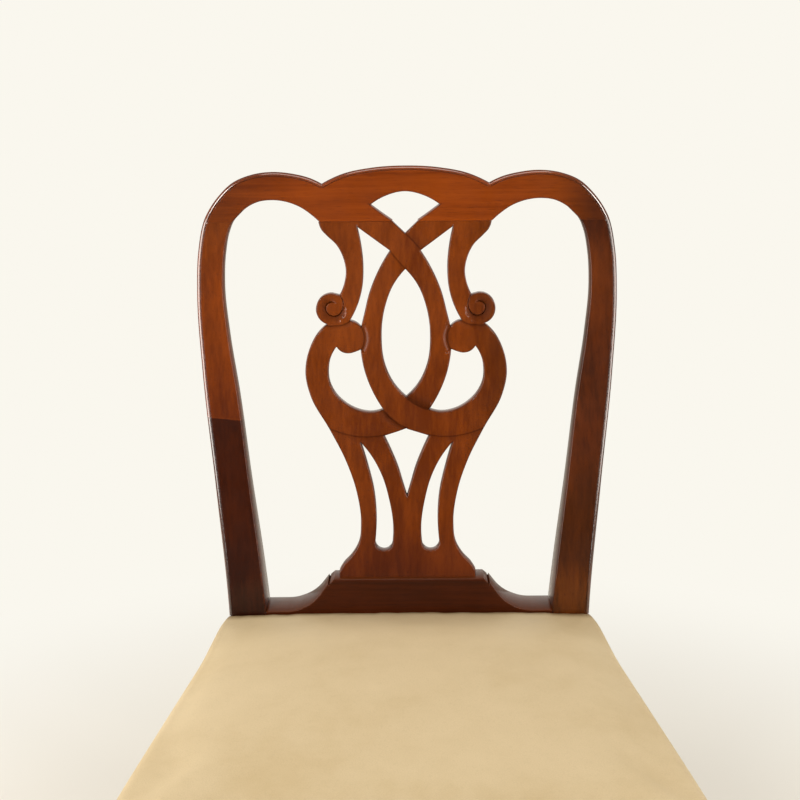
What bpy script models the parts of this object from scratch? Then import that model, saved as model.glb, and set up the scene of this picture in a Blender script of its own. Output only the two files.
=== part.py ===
"""Georgian side chair: pierced strapwork splat, serpentine crest, stuffed-over leather seat.

Metres, +Z up. The sitter faces -Y. The back line (y = 0 before placing) is the plane of the
rear posts' front faces at seat height; rises are heights above the seat line.
"""
import math

import bmesh
import bpy
from mathutils import Matrix, Vector

# Overall
SEAT_LINE_Z = 0.474
SEAT_DEPTH = 0.440
SEAT_FRONT_WIDTH = 0.530
BACK_WIDTH = 0.4732
CREST_JOINT_RISE = 0.444
CREST_HEIGHT = 0.059
RAKE_AT_SEAT = 8.5
RAKE_AT_TOP = 12.0

# Fits
JOINT_GAP = 0.0003
TENON_GAP = 0.0003

# Back
CREST_THICKNESS = 0.022
SPLAT_THICKNESS = 0.014
SPLAT_WIDTH = 0.2284
SHOE_RISE = 0.042
SHOE_DEPTH = 0.038
SHOE_TOP_DEPTH = 0.030
SHOE_WING_RISE = 0.0038
SHOE_REBATE_DEPTH = 0.016
SHOE_REBATE_HEIGHT = 0.0042
POST_DEPTH_AT_SEAT = 0.050
POST_DEPTH_AT_TOP = 0.022
REAR_FOOT_DEPTH = 0.034
REAR_LEG_SPLAY = 0.058
SPLAT_TENON_THICKNESS = 0.008
SPLAT_TENON_HEIGHT = 0.012
SPLAT_FOOT_TENON_WIDTH = 0.120
SPLAT_FOOT_TENON_HEIGHT = 0.015
POST_TENON_WIDTH = 0.013
POST_TENON_HEIGHT = 0.018

# Seat frame
RAIL_TOP_DROP = 0.036
RAIL_HEIGHT = 0.066
RAIL_THICKNESS = 0.025
REAR_RAIL_THICKNESS = 0.038
RAIL_TENON_THICKNESS = 0.0095
RAIL_TENON_SHOULDER = 0.009
RAIL_TENON_LENGTH = 0.016
POST_MORTISE_DEPTH = 0.020
REAR_TENON_LENGTH = 0.022
REAR_TENON_BACKSET = 0.0045
LEG_SIDE = 0.044
LEG_CHAMFER = 0.010
BLOCK_HEIGHT = 0.036
BLOCK_REACH = 0.062
SCREW_HEAD_RADIUS = 0.004
SCREW_HEAD_HEIGHT = 0.0026
SCREW_SHANK_RADIUS = 0.002
SCREW_LENGTH = 0.033
SCREW_SEAT = 0.017

# Stretchers
SIDE_STRETCHER_BOTTOM = 0.100
STRETCHER_HEIGHT = 0.036
STRETCHER_THICKNESS = 0.020
STRETCHER_TENON_LENGTH = 0.014
STRETCHER_TENON_THICKNESS = 0.008
STRETCHER_TENON_SHOULDER = 0.006
CROSS_STRETCHER_SETBACK = 0.200
CROSS_TENON_LENGTH = 0.009
REAR_STRETCHER_BOTTOM = 0.150

# Feet
GLIDE_HEIGHT = 0.005
GLIDE_RADIUS = 0.011
GLIDE_NAIL_RADIUS = 0.0012
GLIDE_NAIL_LENGTH = 0.014

# Upholstery
COVER_THICKNESS = 0.0015
WADDING_THICKNESS = 0.0017
LAYER_GAP = 0.0006
SEAT_CROWN = 0.020
SEAT_EDGE_RADIUS = 0.016
SEAT_REAR_RADIUS = 0.006
SEAT_CORNER_DIP = 0.0015
SEAT_ROLL = 0.0045
SEAT_CORNER_PULL = 0.006
CORNER_EASE = 0.0008
LEG_CORNER_EASE = 0.006
COVER_TURN_UNDER = 0.016
WEB_WIDTH = 0.050
WEB_THICKNESS = 0.0012
WEB_SPACING_ACROSS = 0.105
WEB_SPACING_ALONG = 0.110
HESSIAN_THICKNESS = 0.0008
DUST_COVER_THICKNESS = 0.0008
SHEET_INSET = 0.006

# The sizes at which the outlines below are drawn
DRAWN_BACK_WIDTH = 0.4732
DRAWN_JOINT_RISE = 0.444
DRAWN_CREST_HEIGHT = 0.059
DRAWN_SPLAT_WIDTH = 0.2284
DRAWN_SPLAT_HEIGHT = 0.402
SAMPLE_LENGTH = 0.016
SAMPLE_TURN = math.radians(13.0)

# Half outlines of the back, x from the middle, as points of smooth runs
POST_OUTER = [(0.2074, 0.0), (0.2204, 0.150), (0.2323, 0.277), (0.2366, 0.366), (0.2348, 0.410),
              (0.2293, 0.444)]
POST_INNER = [(0.1660, 0.004), (0.1724, 0.058), (0.1816, 0.150), (0.1930, 0.250), (0.2035, 0.318),
              (0.2080, 0.372), (0.2056, 0.410), (0.1983, 0.444)]
POST_FOOT_OUTER = 0.200
POST_RAIL_OUTER = 0.2055
POST_FOOT_INNER = 0.164

CREST_ARCH = [(0.0, 0.059), (0.038, 0.0564), (0.073, 0.0492), (0.0948, 0.0395)]
CREST_SHOULDER = [(0.0948, 0.0395), (0.108, 0.0462), (0.128, 0.0514), (0.151, 0.0533), (0.1756, 0.0506),
                  (0.1967, 0.0428), (0.212, 0.029), (0.2225, 0.0145), (0.2293, 0.0)]
CREST_EYE = [(0.1983, 0.0), (0.192, 0.008), (0.1817, 0.017), (0.168, 0.0235), (0.152, 0.0255),
             (0.134, 0.023), (0.119, 0.017), (0.106, 0.008), (0.0975, 0.0)]
CREST_FAN_SIDE = [(0.0135, 0.0), (0.0242, 0.008), (0.0403, 0.0198)]
CREST_FAN_TOP = [(0.0403, 0.0198), (0.0225, 0.0288), (0.0, 0.0322)]

SPLAT_FOOT = [(0.0785, 0.008), (0.0745, 0.0165), (0.0665, 0.0257), (0.0575, 0.039), (0.0527, 0.063),
              (0.0573, 0.099), (0.0696, 0.135), (0.0880, 0.1716), (0.1084, 0.2074), (0.1142, 0.233),
              (0.1090, 0.262), (0.0995, 0.2795), (0.0900, 0.2885)]
SPLAT_FOOT_HALF = 0.0785
VOLUTE_CENTRE = (0.0850, 0.3041)
VOLUTE_RADIUS = 0.0165
VOLUTE_START = -72.0
VOLUTE_END = 96.0
SPLAT_NECK = [(0.0744, 0.3197), (0.0688, 0.333), (0.0662, 0.347), (0.0683, 0.359), (0.0776, 0.377),
              (0.0880, 0.3870), (0.0945, 0.3940), (0.0975, 0.402)]
SPLAT_TOP_HALF = 0.0975
SPLAT_FAN_HALF = 0.0135
SPLAT_FAN_POINT = 0.3885

BLADE_INNER = [(0.0180, 0.370), (0.0292, 0.351), (0.0406, 0.324), (0.0474, 0.2975), (0.0509, 0.2845)]
BLADE_DISC = [(0.0509, 0.2845), (0.0566, 0.2893), (0.0636, 0.2917)]
BLADE_OUTER = [(0.0636, 0.2917), (0.0570, 0.305), (0.0508, 0.324), (0.0482, 0.350), (0.0500, 0.377),
               (0.0535, 0.3965)]
LENS_SIDE = [(0.0, 0.349), (0.0138, 0.333), (0.0241, 0.306), (0.0282, 0.273), (0.0245, 0.2435),
             (0.0148, 0.2220), (0.0, 0.2057)]
HEART_DISC = [(0.0795, 0.2635), (0.0730, 0.2580), (0.0645, 0.2565), (0.0580, 0.2580), (0.0510, 0.2602)]
HEART_INNER = [(0.0510, 0.2602), (0.0463, 0.235), (0.0374, 0.2115), (0.0262, 0.1916)]
HEART_OUTER = [(0.0262, 0.1916), (0.0395, 0.1882), (0.0540, 0.1905), (0.0685, 0.1985), (0.0805, 0.2105),
               (0.0876, 0.2245), (0.0891, 0.237), (0.0862, 0.252), (0.0795, 0.2635)]
LOWER_FAN_TOP = [(0.0, 0.1715), (0.0256, 0.1632)]
LOWER_FAN_SIDE = [(0.0256, 0.1632), (0.0168, 0.1444), (0.0096, 0.126), (0.0040, 0.107), (0.0, 0.0935)]
SLOT_OUTER = [(0.0520, 0.1550), (0.0434, 0.126), (0.0375, 0.099), (0.0354, 0.071), (0.0367, 0.0405)]
SLOT_END_CENTRE = (0.0265, 0.0405)
SLOT_END_RADIUS = 0.0102
SLOT_INNER = [(0.0163, 0.0405), (0.0158, 0.060), (0.0199, 0.090), (0.0278, 0.1175), (0.0400, 0.141),
              (0.0520, 0.1550)]

SHOE_CAVETTO = [(0.0930, 0.0373), (0.0972, 0.0290), (0.1030, 0.0200), (0.1135, 0.0112), (0.1230, 0.0068),
                (0.1330, 0.0038)]
SHOE_BLOCK_HALF = 0.0860
SHOE_CHAMFER = (0.0910, 0.0373)
SHOE_QUIRK = (0.0920, 0.0345)

# Derived sizes
RAIL_TOP = SEAT_LINE_Z - RAIL_TOP_DROP
RAIL_BOTTOM = RAIL_TOP - RAIL_HEIGHT
CREST_JOINT_Z = SEAT_LINE_Z + CREST_JOINT_RISE
CREST_TOP_RISE = CREST_JOINT_RISE + CREST_HEIGHT
POST_SCALE = BACK_WIDTH / DRAWN_BACK_WIDTH
SPLAT_SCALE = SPLAT_WIDTH / DRAWN_SPLAT_WIDTH
UPHOLSTERY = COVER_THICKNESS + WADDING_THICKNESS + 2.0 * LAYER_GAP
COVER_REAR_HALF = POST_OUTER[0][0] * POST_SCALE
COVER_FRONT_HALF = SEAT_FRONT_WIDTH / 2.0
SEAT_FLARE = (COVER_FRONT_HALF - COVER_REAR_HALF) / SEAT_DEPTH
RAIL_FRONT_Y = -SEAT_DEPTH + UPHOLSTERY
RAIL_REAR_HALF = COVER_REAR_HALF - UPHOLSTERY
POST_INNER_HALF = POST_INNER[0][0] * POST_SCALE
LEG_BACK_Y = RAIL_FRONT_Y + LEG_SIDE


def rake(rise):
    """Depth of the back's front surface behind the back line."""
    low = math.tan(math.radians(RAKE_AT_SEAT))
    gain = math.tan(math.radians(RAKE_AT_TOP)) - low
    return low * rise + gain * rise * rise / (2.0 * CREST_TOP_RISE)


REAR_REACH = rake(CREST_TOP_RISE) + CREST_THICKNESS
BACK_LINE_Y = (SEAT_DEPTH + SEAT_ROLL - REAR_REACH) / 2.0

for old in list(bpy.data.objects):
    bpy.data.objects.remove(old, do_unlink=True)

PARTS = bpy.data.collections.new("georgian_side_chair")
CUTTERS = bpy.data.collections.new("cutters")
bpy.context.scene.collection.children.link(PARTS)
bpy.context.scene.collection.children.link(CUTTERS)
CHAIR = bpy.data.objects.new("back_line", None)
CHAIR.location = (0.0, BACK_LINE_Y, 0.0)
PARTS.objects.link(CHAIR)


def material(name, colour, roughness, metallic=0.0):
    made = bpy.data.materials.new(name)
    made.use_nodes = True
    shader = made.node_tree.nodes["Principled BSDF"]
    shader.inputs["Base Color"].default_value = (*colour, 1.0)
    shader.inputs["Roughness"].default_value = roughness
    shader.inputs["Metallic"].default_value = metallic
    made.diffuse_color = (*colour, 1.0)
    return made


MAHOGANY = ("mahogany", (0.20, 0.060, 0.018), 0.35)
BEECH = ("beech", (0.52, 0.36, 0.20), 0.6)
LEATHER = ("cream_leather", (0.68, 0.56, 0.36), 0.45)
COTTON = ("cotton_wadding", (0.86, 0.84, 0.78), 0.95)
HAIR = ("curled_hair", (0.10, 0.075, 0.05), 0.95)
JUTE = ("jute_webbing", (0.46, 0.33, 0.17), 0.9)
HESSIAN = ("hessian", (0.52, 0.40, 0.22), 0.95)
CAMBRIC = ("black_cambric", (0.02, 0.02, 0.022), 0.9)
STEEL = ("steel", (0.55, 0.55, 0.56), 0.35, 1.0)


def as_child(name, mesh, collection):
    made = bpy.data.objects.new(name, mesh)
    collection.objects.link(made)
    made.parent = CHAIR
    return made


def piece(name, mesh, look):
    made = as_child(name, mesh, PARTS)
    mesh.materials.clear()
    mesh.materials.append(material(f"{name}_{look[0]}", *look[1:]))
    return made


def tool(mesh):
    made = as_child("cutter", mesh, CUTTERS)
    made.display_type = "WIRE"
    made.hide_render = True
    return made


def boolean(target, mesh, operation):
    step = target.modifiers.new(operation.lower(), "BOOLEAN")
    step.operation = operation
    step.solver = "EXACT"
    step.object = tool(mesh)
    step.show_viewport = True
    step.show_render = True


def cut(target, mesh):
    boolean(target, mesh, "DIFFERENCE")


def join(target, mesh):
    boolean(target, mesh, "UNION")


def common(target, mesh):
    boolean(target, mesh, "INTERSECT")


def mesh_from(bm, name):
    bmesh.ops.recalc_face_normals(bm, faces=bm.faces[:])
    mesh = bpy.data.meshes.new(name)
    bm.to_mesh(mesh)
    bm.free()
    return mesh


TURNS = {
    "PLAN": Matrix.Identity(4),
    "FRONT": Matrix(((1, 0, 0, 0), (0, 0, -1, 0), (0, 1, 0, 0), (0, 0, 0, 1))),
    "SIDE": Matrix(((0, 0, 1, 0), (1, 0, 0, 0), (0, 1, 0, 0), (0, 0, 0, 1))),
}
LIFTS = {"PLAN": Vector((0, 0, 1)), "FRONT": Vector((0, 1, 0)), "SIDE": Vector((1, 0, 0))}


def prism(loops, plane, start, end):
    """A flat outline, with any holes, drawn in a view and extruded from start to end across it."""
    sketch = bpy.data.curves.new("outline", "CURVE")
    sketch.dimensions = "2D"
    sketch.fill_mode = "BOTH"
    sketch.extrude = (end - start) / 2.0
    for loop in loops:
        line = sketch.splines.new("POLY")
        line.points.add(len(loop) - 1)
        for point, (u, v) in zip(line.points, loop):
            point.co = (u, v, 0.0, 1.0)
        line.use_cyclic_u = True
    holder = bpy.data.objects.new("outline", sketch)
    bpy.context.scene.collection.objects.link(holder)
    holder.matrix_world = Matrix.Translation(LIFTS[plane] * (start + end) / 2.0) @ TURNS[plane]
    bpy.context.view_layer.update()
    ready = holder.evaluated_get(bpy.context.evaluated_depsgraph_get())
    mesh = bpy.data.meshes.new_from_object(ready)
    mesh.transform(holder.matrix_world)
    bpy.data.objects.remove(holder, do_unlink=True)
    bpy.data.curves.remove(sketch)
    bm = bmesh.new()
    bm.from_mesh(mesh)
    bpy.data.meshes.remove(mesh)
    bmesh.ops.remove_doubles(bm, verts=bm.verts[:], dist=1e-6)
    return mesh_from(bm, "prism")


def block(x0, x1, y0, y1, z0, z1):
    bm = bmesh.new()
    bmesh.ops.create_cube(bm, size=1.0)
    bmesh.ops.scale(bm, vec=(x1 - x0, y1 - y0, z1 - z0), verts=bm.verts[:])
    bmesh.ops.translate(bm, vec=((x0 + x1) / 2.0, (y0 + y1) / 2.0, (z0 + z1) / 2.0), verts=bm.verts[:])
    return mesh_from(bm, "block")


def smooth_run(points, start=None, end=None):
    """A smooth curve through the points, with more samples where it bends more."""
    stops = [Vector(p) for p in points]
    gaps = [(b - a).length for a, b in zip(stops, stops[1:])]
    slopes = [(b - a) / g for a, b, g in zip(stops, stops[1:], gaps)]
    inner = [(s0 * g1 + s1 * g0) / (g0 + g1)
             for s0, s1, g0, g1 in zip(slopes, slopes[1:], gaps, gaps[1:])]
    first = Vector(start) if start else 2.0 * slopes[0] - (inner[0] if inner else slopes[0])
    last = Vector(end) if end else 2.0 * slopes[-1] - (inner[-1] if inner else slopes[-1])
    heads = [first, *inner, last]
    run = [stops[0]]
    for a, b, ha, hb, gap in zip(stops, stops[1:], heads, heads[1:], gaps):
        steps = max(1, math.ceil(gap / SAMPLE_LENGTH), math.ceil(ha.angle(hb) / SAMPLE_TURN))
        for i in range(1, steps + 1):
            t = i / steps
            run.append((2 * t**3 - 3 * t**2 + 1) * a + (t**3 - 2 * t**2 + t) * gap * ha
                       + (3 * t**2 - 2 * t**3) * b + (t**3 - t**2) * gap * hb)
    return [tuple(p) for p in run]


def arc(centre, radius, start, end):
    steps = max(2, math.ceil(abs(end - start) / math.degrees(SAMPLE_TURN)))
    turn = [math.radians(start + (end - start) * i / steps) for i in range(steps + 1)]
    return [(centre[0] + radius * math.cos(a), centre[1] + radius * math.sin(a)) for a in turn]


def joined(*runs):
    """One list from runs that share their end points."""
    loop = []
    for run in runs:
        for point in run:
            if not loop or math.dist(point, loop[-1]) > 1e-6:
                loop.append(point)
    if math.dist(loop[0], loop[-1]) < 1e-6:
        loop.pop()
    return loop


def mirrored(half):
    """A full outline from its right half."""
    return half + [(-x, v) for x, v in reversed(half) if x > 1e-6]


def flipped(loop):
    return [(-x, v) for x, v in loop]


def sided(points, side):
    return [(side * x, v) for x, v in points]


# Side profiles
def leg_front(z):
    """Front face of a rear post below its seat rails."""
    drop = max(0.0, (RAIL_BOTTOM - z) / RAIL_BOTTOM)
    return REAR_LEG_SPLAY * drop**1.7


def leg_depth(z):
    drop = max(0.0, (RAIL_BOTTOM - z) / RAIL_BOTTOM)
    return POST_DEPTH_AT_SEAT + (REAR_FOOT_DEPTH - POST_DEPTH_AT_SEAT) * drop


def stile_depth(rise):
    left = max(0.0, 1.0 - rise / CREST_JOINT_RISE)
    return POST_DEPTH_AT_TOP + (POST_DEPTH_AT_SEAT - POST_DEPTH_AT_TOP) * left**2.5


def span(a, b, steps):
    return [a + (b - a) * i / steps for i in range(steps + 1)]


def post_profile(foot, lead=0.0):
    """Side view of a rear post; lead moves the front edge forward to leave a gap."""
    low = [(leg_front(z), z, leg_depth(z)) for z in span(foot, RAIL_BOTTOM, 8)]
    high = [(rake(r), SEAT_LINE_Z + r, stile_depth(r)) for r in span(0.0, CREST_JOINT_RISE, 10)]
    stops = low + high
    front = [(y - lead, z) for y, z, depth in stops]
    back = [(y + depth, z) for y, z, depth in reversed(stops)]
    return front + back


def raked_band(low, high, thickness):
    """Side view of a sawn board that follows the rake of the back."""
    rises = span(low, high, 9)
    front = [(rake(r), SEAT_LINE_Z + r) for r in rises]
    back = [(rake(r) + thickness, SEAT_LINE_Z + r) for r in reversed(rises)]
    return front + back


# Seat frame lines
def rail_outer(y):
    return RAIL_REAR_HALF - SEAT_FLARE * y


def rail_inner(y):
    return rail_outer(y) - RAIL_THICKNESS


# Rear posts
def post_outline(side):
    stretch = CREST_JOINT_RISE / DRAWN_JOINT_RISE
    outer = [(POST_FOOT_OUTER * POST_SCALE, GLIDE_HEIGHT), (POST_RAIL_OUTER * POST_SCALE, RAIL_BOTTOM)]
    outer += [(x * POST_SCALE, SEAT_LINE_Z + r * stretch) for x, r in POST_OUTER]
    inner = [(x * POST_SCALE, SEAT_LINE_Z + r * stretch) for x, r in reversed(POST_INNER)]
    low = [(POST_INNER_HALF, RAIL_BOTTOM - JOINT_GAP), (POST_FOOT_INNER * POST_SCALE, GLIDE_HEIGHT)]
    return sided(joined(smooth_run(outer), smooth_run(inner), low), side)


POST_TOP_OUTER = POST_OUTER[-1][0] * POST_SCALE
POST_TOP_INNER = POST_INNER[-1][0] * POST_SCALE
POST_TENON_MID = (POST_TOP_OUTER + POST_TOP_INNER) / 2.0 - 0.0035
POST_TENON_Y = rake(CREST_JOINT_RISE) + 0.0065
POST_TENON_DEPTH = 0.0085


def post_tenon(side, grow):
    reach = POST_TENON_WIDTH / 2.0 + grow
    ends = sorted((side * (POST_TENON_MID - reach), side * (POST_TENON_MID + reach)))
    return block(*ends, POST_TENON_Y - grow, POST_TENON_Y + POST_TENON_DEPTH + grow,
                 CREST_JOINT_Z - 0.012, CREST_JOINT_Z + POST_TENON_HEIGHT + grow)


def make_post(side, name):
    made = piece(name, prism([post_outline(side)], "FRONT", -0.05, 0.25), MAHOGANY)
    ends = sorted((side * 0.12 * POST_SCALE, side * 0.28 * POST_SCALE))
    common(made, prism([post_profile(GLIDE_HEIGHT)], "SIDE", *ends))
    join(made, post_tenon(side, 0.0))
    return made


POST_LEFT = make_post(-1, "rear_post_left")
POST_RIGHT = make_post(1, "rear_post_right")
POSTS = {-1: POST_LEFT, 1: POST_RIGHT}

# Splat
SPLAT_BASE = SHOE_RISE + JOINT_GAP
SPLAT_RISE = CREST_JOINT_RISE - SPLAT_BASE


def on_splat(loop):
    return [(x * SPLAT_SCALE, SEAT_LINE_Z + SPLAT_BASE + h * SPLAT_RISE / DRAWN_SPLAT_HEIGHT)
            for x, h in loop]


def splat_loops():
    outer = joined([(SPLAT_FOOT_HALF, 0.0)], smooth_run(SPLAT_FOOT),
                   arc(VOLUTE_CENTRE, VOLUTE_RADIUS, VOLUTE_START, VOLUTE_END)[1:-1],
                   smooth_run(SPLAT_NECK), [(SPLAT_FAN_HALF, DRAWN_SPLAT_HEIGHT), (0.0, SPLAT_FAN_POINT)])
    blade = joined(smooth_run(BLADE_INNER), smooth_run(BLADE_DISC), smooth_run(BLADE_OUTER))
    heart = joined(smooth_run(HEART_DISC), smooth_run(HEART_INNER), smooth_run(HEART_OUTER))
    slot = joined(smooth_run(SLOT_OUTER), arc(SLOT_END_CENTRE, SLOT_END_RADIUS, 0.0, -180.0),
                  smooth_run(SLOT_INNER))
    lens = mirrored(smooth_run(LENS_SIDE))
    fan = mirrored(joined(smooth_run(LOWER_FAN_TOP), smooth_run(LOWER_FAN_SIDE)))
    loops = [mirrored(outer), lens, fan]
    for hole in (blade, heart, slot):
        loops += [hole, flipped(hole)]
    return [on_splat(loop) for loop in loops]


SPLAT_TENON_Y = rake(CREST_JOINT_RISE) + (SPLAT_THICKNESS - SPLAT_TENON_THICKNESS) / 2.0
SPLAT_FOOT_TENON_Y = rake(SHOE_RISE) + (SPLAT_THICKNESS - SPLAT_TENON_THICKNESS) / 2.0


def splat_top_tenon(side, grow):
    near = 0.042 * SPLAT_SCALE - grow
    far = 0.086 * SPLAT_SCALE + grow
    return block(*sorted((side * near, side * far)),
                 SPLAT_TENON_Y - grow, SPLAT_TENON_Y + SPLAT_TENON_THICKNESS + grow,
                 CREST_JOINT_Z - 0.003, CREST_JOINT_Z + SPLAT_TENON_HEIGHT + grow)


def splat_foot_tenon(grow):
    half = SPLAT_FOOT_TENON_WIDTH / 2.0 + grow
    top = SEAT_LINE_Z + SHOE_RISE
    return block(-half, half, SPLAT_FOOT_TENON_Y - grow, SPLAT_FOOT_TENON_Y + SPLAT_TENON_THICKNESS + grow,
                 top - SPLAT_FOOT_TENON_HEIGHT - grow, top + 0.010)


SPLAT = piece("splat", prism(splat_loops(), "FRONT", -0.05, 0.25), MAHOGANY)
common(SPLAT, prism([raked_band(SPLAT_BASE, CREST_JOINT_RISE, SPLAT_THICKNESS)], "SIDE", -0.2, 0.2))
join(SPLAT, splat_foot_tenon(0.0))
for SIDE in (-1, 1):
    join(SPLAT, splat_top_tenon(SIDE, 0.0))

# Crest rail
CREST_BASE_Z = CREST_JOINT_Z + JOINT_GAP


def crest_x(x):
    """The middle keeps to the splat, the ends to the posts, and the eyes between them stretch."""
    near = SPLAT_TOP_HALF * SPLAT_SCALE
    if x <= SPLAT_TOP_HALF:
        return x * SPLAT_SCALE
    if x >= POST_INNER[-1][0]:
        return x * POST_SCALE
    part = (x - SPLAT_TOP_HALF) / (POST_INNER[-1][0] - SPLAT_TOP_HALF)
    return near + (POST_TOP_INNER - near) * part


def crest_loop():
    half = joined(smooth_run(CREST_ARCH, start=(1.0, 0.0)), smooth_run(CREST_SHOULDER),
                  smooth_run(CREST_EYE), smooth_run(CREST_FAN_SIDE),
                  smooth_run(CREST_FAN_TOP, end=(-1.0, 0.0)))
    stretch = (CREST_HEIGHT - JOINT_GAP) / DRAWN_CREST_HEIGHT
    return mirrored([(crest_x(x), CREST_BASE_Z + c * stretch) for x, c in half])


CREST = piece("crest_rail", prism([crest_loop()], "FRONT", -0.05, 0.25), MAHOGANY)
common(CREST, prism([raked_band(CREST_JOINT_RISE + JOINT_GAP, CREST_TOP_RISE, CREST_THICKNESS)], "SIDE",
                    -BACK_WIDTH, BACK_WIDTH))
for SIDE in (-1, 1):
    cut(CREST, post_tenon(SIDE, TENON_GAP))
    cut(CREST, splat_top_tenon(SIDE, TENON_GAP))

# Splat shoe
SHOE_BOTTOM = RAIL_TOP + JOINT_GAP
SHOE_TOP = SEAT_LINE_Z + SHOE_RISE
SHOE_END = POST_INNER_HALF - JOINT_GAP


def shoe_loop():
    swell = (SHOE_RISE - SHOE_WING_RISE) / 0.0382
    rise = [(x, SEAT_LINE_Z + SHOE_WING_RISE + (r - 0.0038) * swell)
            for x, r in [SHOE_CHAMFER, SHOE_QUIRK, *smooth_run(SHOE_CAVETTO)]]
    wing = SEAT_LINE_Z + SHOE_WING_RISE
    half = [(SHOE_BLOCK_HALF, SHOE_TOP), *rise, (SHOE_END, wing), (SHOE_END, SHOE_BOTTOM)]
    return mirrored(half)


SHOE_PROFILE = [(0.0, SHOE_TOP), (SHOE_TOP_DEPTH, SHOE_TOP), (SHOE_DEPTH, SEAT_LINE_Z),
                (SHOE_DEPTH, SHOE_BOTTOM),
                (SHOE_REBATE_DEPTH, SHOE_BOTTOM), (SHOE_REBATE_DEPTH, SHOE_BOTTOM + SHOE_REBATE_HEIGHT),
                (0.0, SHOE_BOTTOM + SHOE_REBATE_HEIGHT)]
SHOE = piece("splat_shoe", prism([shoe_loop()], "FRONT", -0.02, 0.08), MAHOGANY)
common(SHOE, prism([SHOE_PROFILE], "SIDE", -BACK_WIDTH, BACK_WIDTH))
cut(SHOE, splat_foot_tenon(TENON_GAP))


# Front legs
def leg_section(grow):
    outer = rail_outer(RAIL_FRONT_Y)
    inner = outer - LEG_SIDE
    back = LEG_BACK_Y + grow
    return [(outer + grow, RAIL_FRONT_Y - grow), (rail_outer(LEG_BACK_Y) + grow, back),
            (inner - grow, back), (inner - grow, RAIL_FRONT_Y - grow)]


LEG_INNER = rail_outer(RAIL_FRONT_Y) - LEG_SIDE
CHAMFER_TOP = RAIL_BOTTOM - 0.012


def make_leg(side, name):
    made = piece(name, prism([sided(leg_section(0.0), side)], "PLAN", GLIDE_HEIGHT, RAIL_TOP), MAHOGANY)
    corner = [(LEG_INNER - 0.005, LEG_BACK_Y + 0.005), (LEG_INNER + LEG_CHAMFER, LEG_BACK_Y + 0.005),
              (LEG_INNER + LEG_CHAMFER, LEG_BACK_Y), (LEG_INNER, LEG_BACK_Y - LEG_CHAMFER),
              (LEG_INNER - 0.005, LEG_BACK_Y - LEG_CHAMFER)]
    cut(made, prism([sided(corner, side)], "PLAN", 0.0, CHAMFER_TOP))
    outer = rail_outer(RAIL_FRONT_Y)
    eased = [(outer - LEG_CORNER_EASE - 0.005, RAIL_FRONT_Y - 0.005), (outer + 0.005, RAIL_FRONT_Y - 0.005),
             (outer + 0.005, RAIL_FRONT_Y + LEG_CORNER_EASE + 0.005)]
    cut(made, prism([sided(eased, side)], "PLAN", RAIL_BOTTOM, RAIL_TOP + 0.001))
    return made


LEGS = {-1: make_leg(-1, "front_leg_left"), 1: make_leg(1, "front_leg_right")}

# Seat rails
TENON_LOW = RAIL_BOTTOM + RAIL_TENON_SHOULDER
TENON_HIGH = RAIL_TOP - RAIL_TENON_SHOULDER
FRONT_RAIL_MID = RAIL_FRONT_Y + RAIL_THICKNESS / 2.0
FRONT_RAIL_END = LEG_INNER - JOINT_GAP


def front_tenon(side, grow):
    half = RAIL_TENON_THICKNESS / 2.0 + grow
    ends = sorted((side * (LEG_INNER - 0.010), side * (LEG_INNER + RAIL_TENON_LENGTH + grow)))
    return block(*ends, FRONT_RAIL_MID - half, FRONT_RAIL_MID + half, TENON_LOW - grow, TENON_HIGH + grow)


FRONT_RAIL = piece("front_seat_rail", block(-FRONT_RAIL_END, FRONT_RAIL_END, RAIL_FRONT_Y,
                                            RAIL_FRONT_Y + RAIL_THICKNESS, RAIL_BOTTOM, RAIL_TOP), BEECH)
for SIDE in (-1, 1):
    join(FRONT_RAIL, front_tenon(SIDE, 0.0))
    cut(LEGS[SIDE], front_tenon(SIDE, TENON_GAP))


def side_tenon(side, grow):
    """One tongue through the whole side rail, into the leg at one end and the post at the other."""
    front = LEG_BACK_Y - RAIL_TENON_LENGTH - grow
    back = POST_MORTISE_DEPTH + grow
    off = (RAIL_THICKNESS - RAIL_TENON_THICKNESS) / 2.0 - grow
    loop = [(rail_outer(front) - off, front), (rail_outer(back) - off, back),
            (rail_inner(back) + off, back), (rail_inner(front) + off, front)]
    return prism([sided(loop, side)], "PLAN", TENON_LOW - grow, TENON_HIGH + grow)


def make_side_rail(side, name):
    front = LEG_BACK_Y + JOINT_GAP
    back = -JOINT_GAP
    loop = [(rail_outer(front), front), (rail_outer(back), back), (rail_inner(back), back),
            (rail_inner(front), front)]
    made = piece(name, prism([sided(loop, side)], "PLAN", RAIL_BOTTOM, RAIL_TOP), BEECH)
    join(made, side_tenon(side, 0.0))
    cut(LEGS[side], side_tenon(side, TENON_GAP))
    cut(POSTS[side], side_tenon(side, TENON_GAP))
    return made


SIDE_RAILS = {-1: make_side_rail(-1, "side_seat_rail_left"), 1: make_side_rail(1, "side_seat_rail_right")}

REAR_TENON_Y = POST_MORTISE_DEPTH + REAR_TENON_BACKSET


def rear_tenon(side, grow):
    ends = sorted((side * (SHOE_END - 0.010), side * (POST_INNER_HALF + REAR_TENON_LENGTH + grow)))
    return block(*ends, REAR_TENON_Y - grow, REAR_TENON_Y + RAIL_TENON_THICKNESS + grow,
                 TENON_LOW - grow, TENON_HIGH + grow)


REAR_RAIL = piece("rear_seat_rail", block(-SHOE_END, SHOE_END, 0.0, REAR_RAIL_THICKNESS, RAIL_BOTTOM,
                                          RAIL_TOP), MAHOGANY)
for SIDE in (-1, 1):
    join(REAR_RAIL, rear_tenon(SIDE, 0.0))
    cut(POSTS[SIDE], rear_tenon(SIDE, TENON_GAP))

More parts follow.
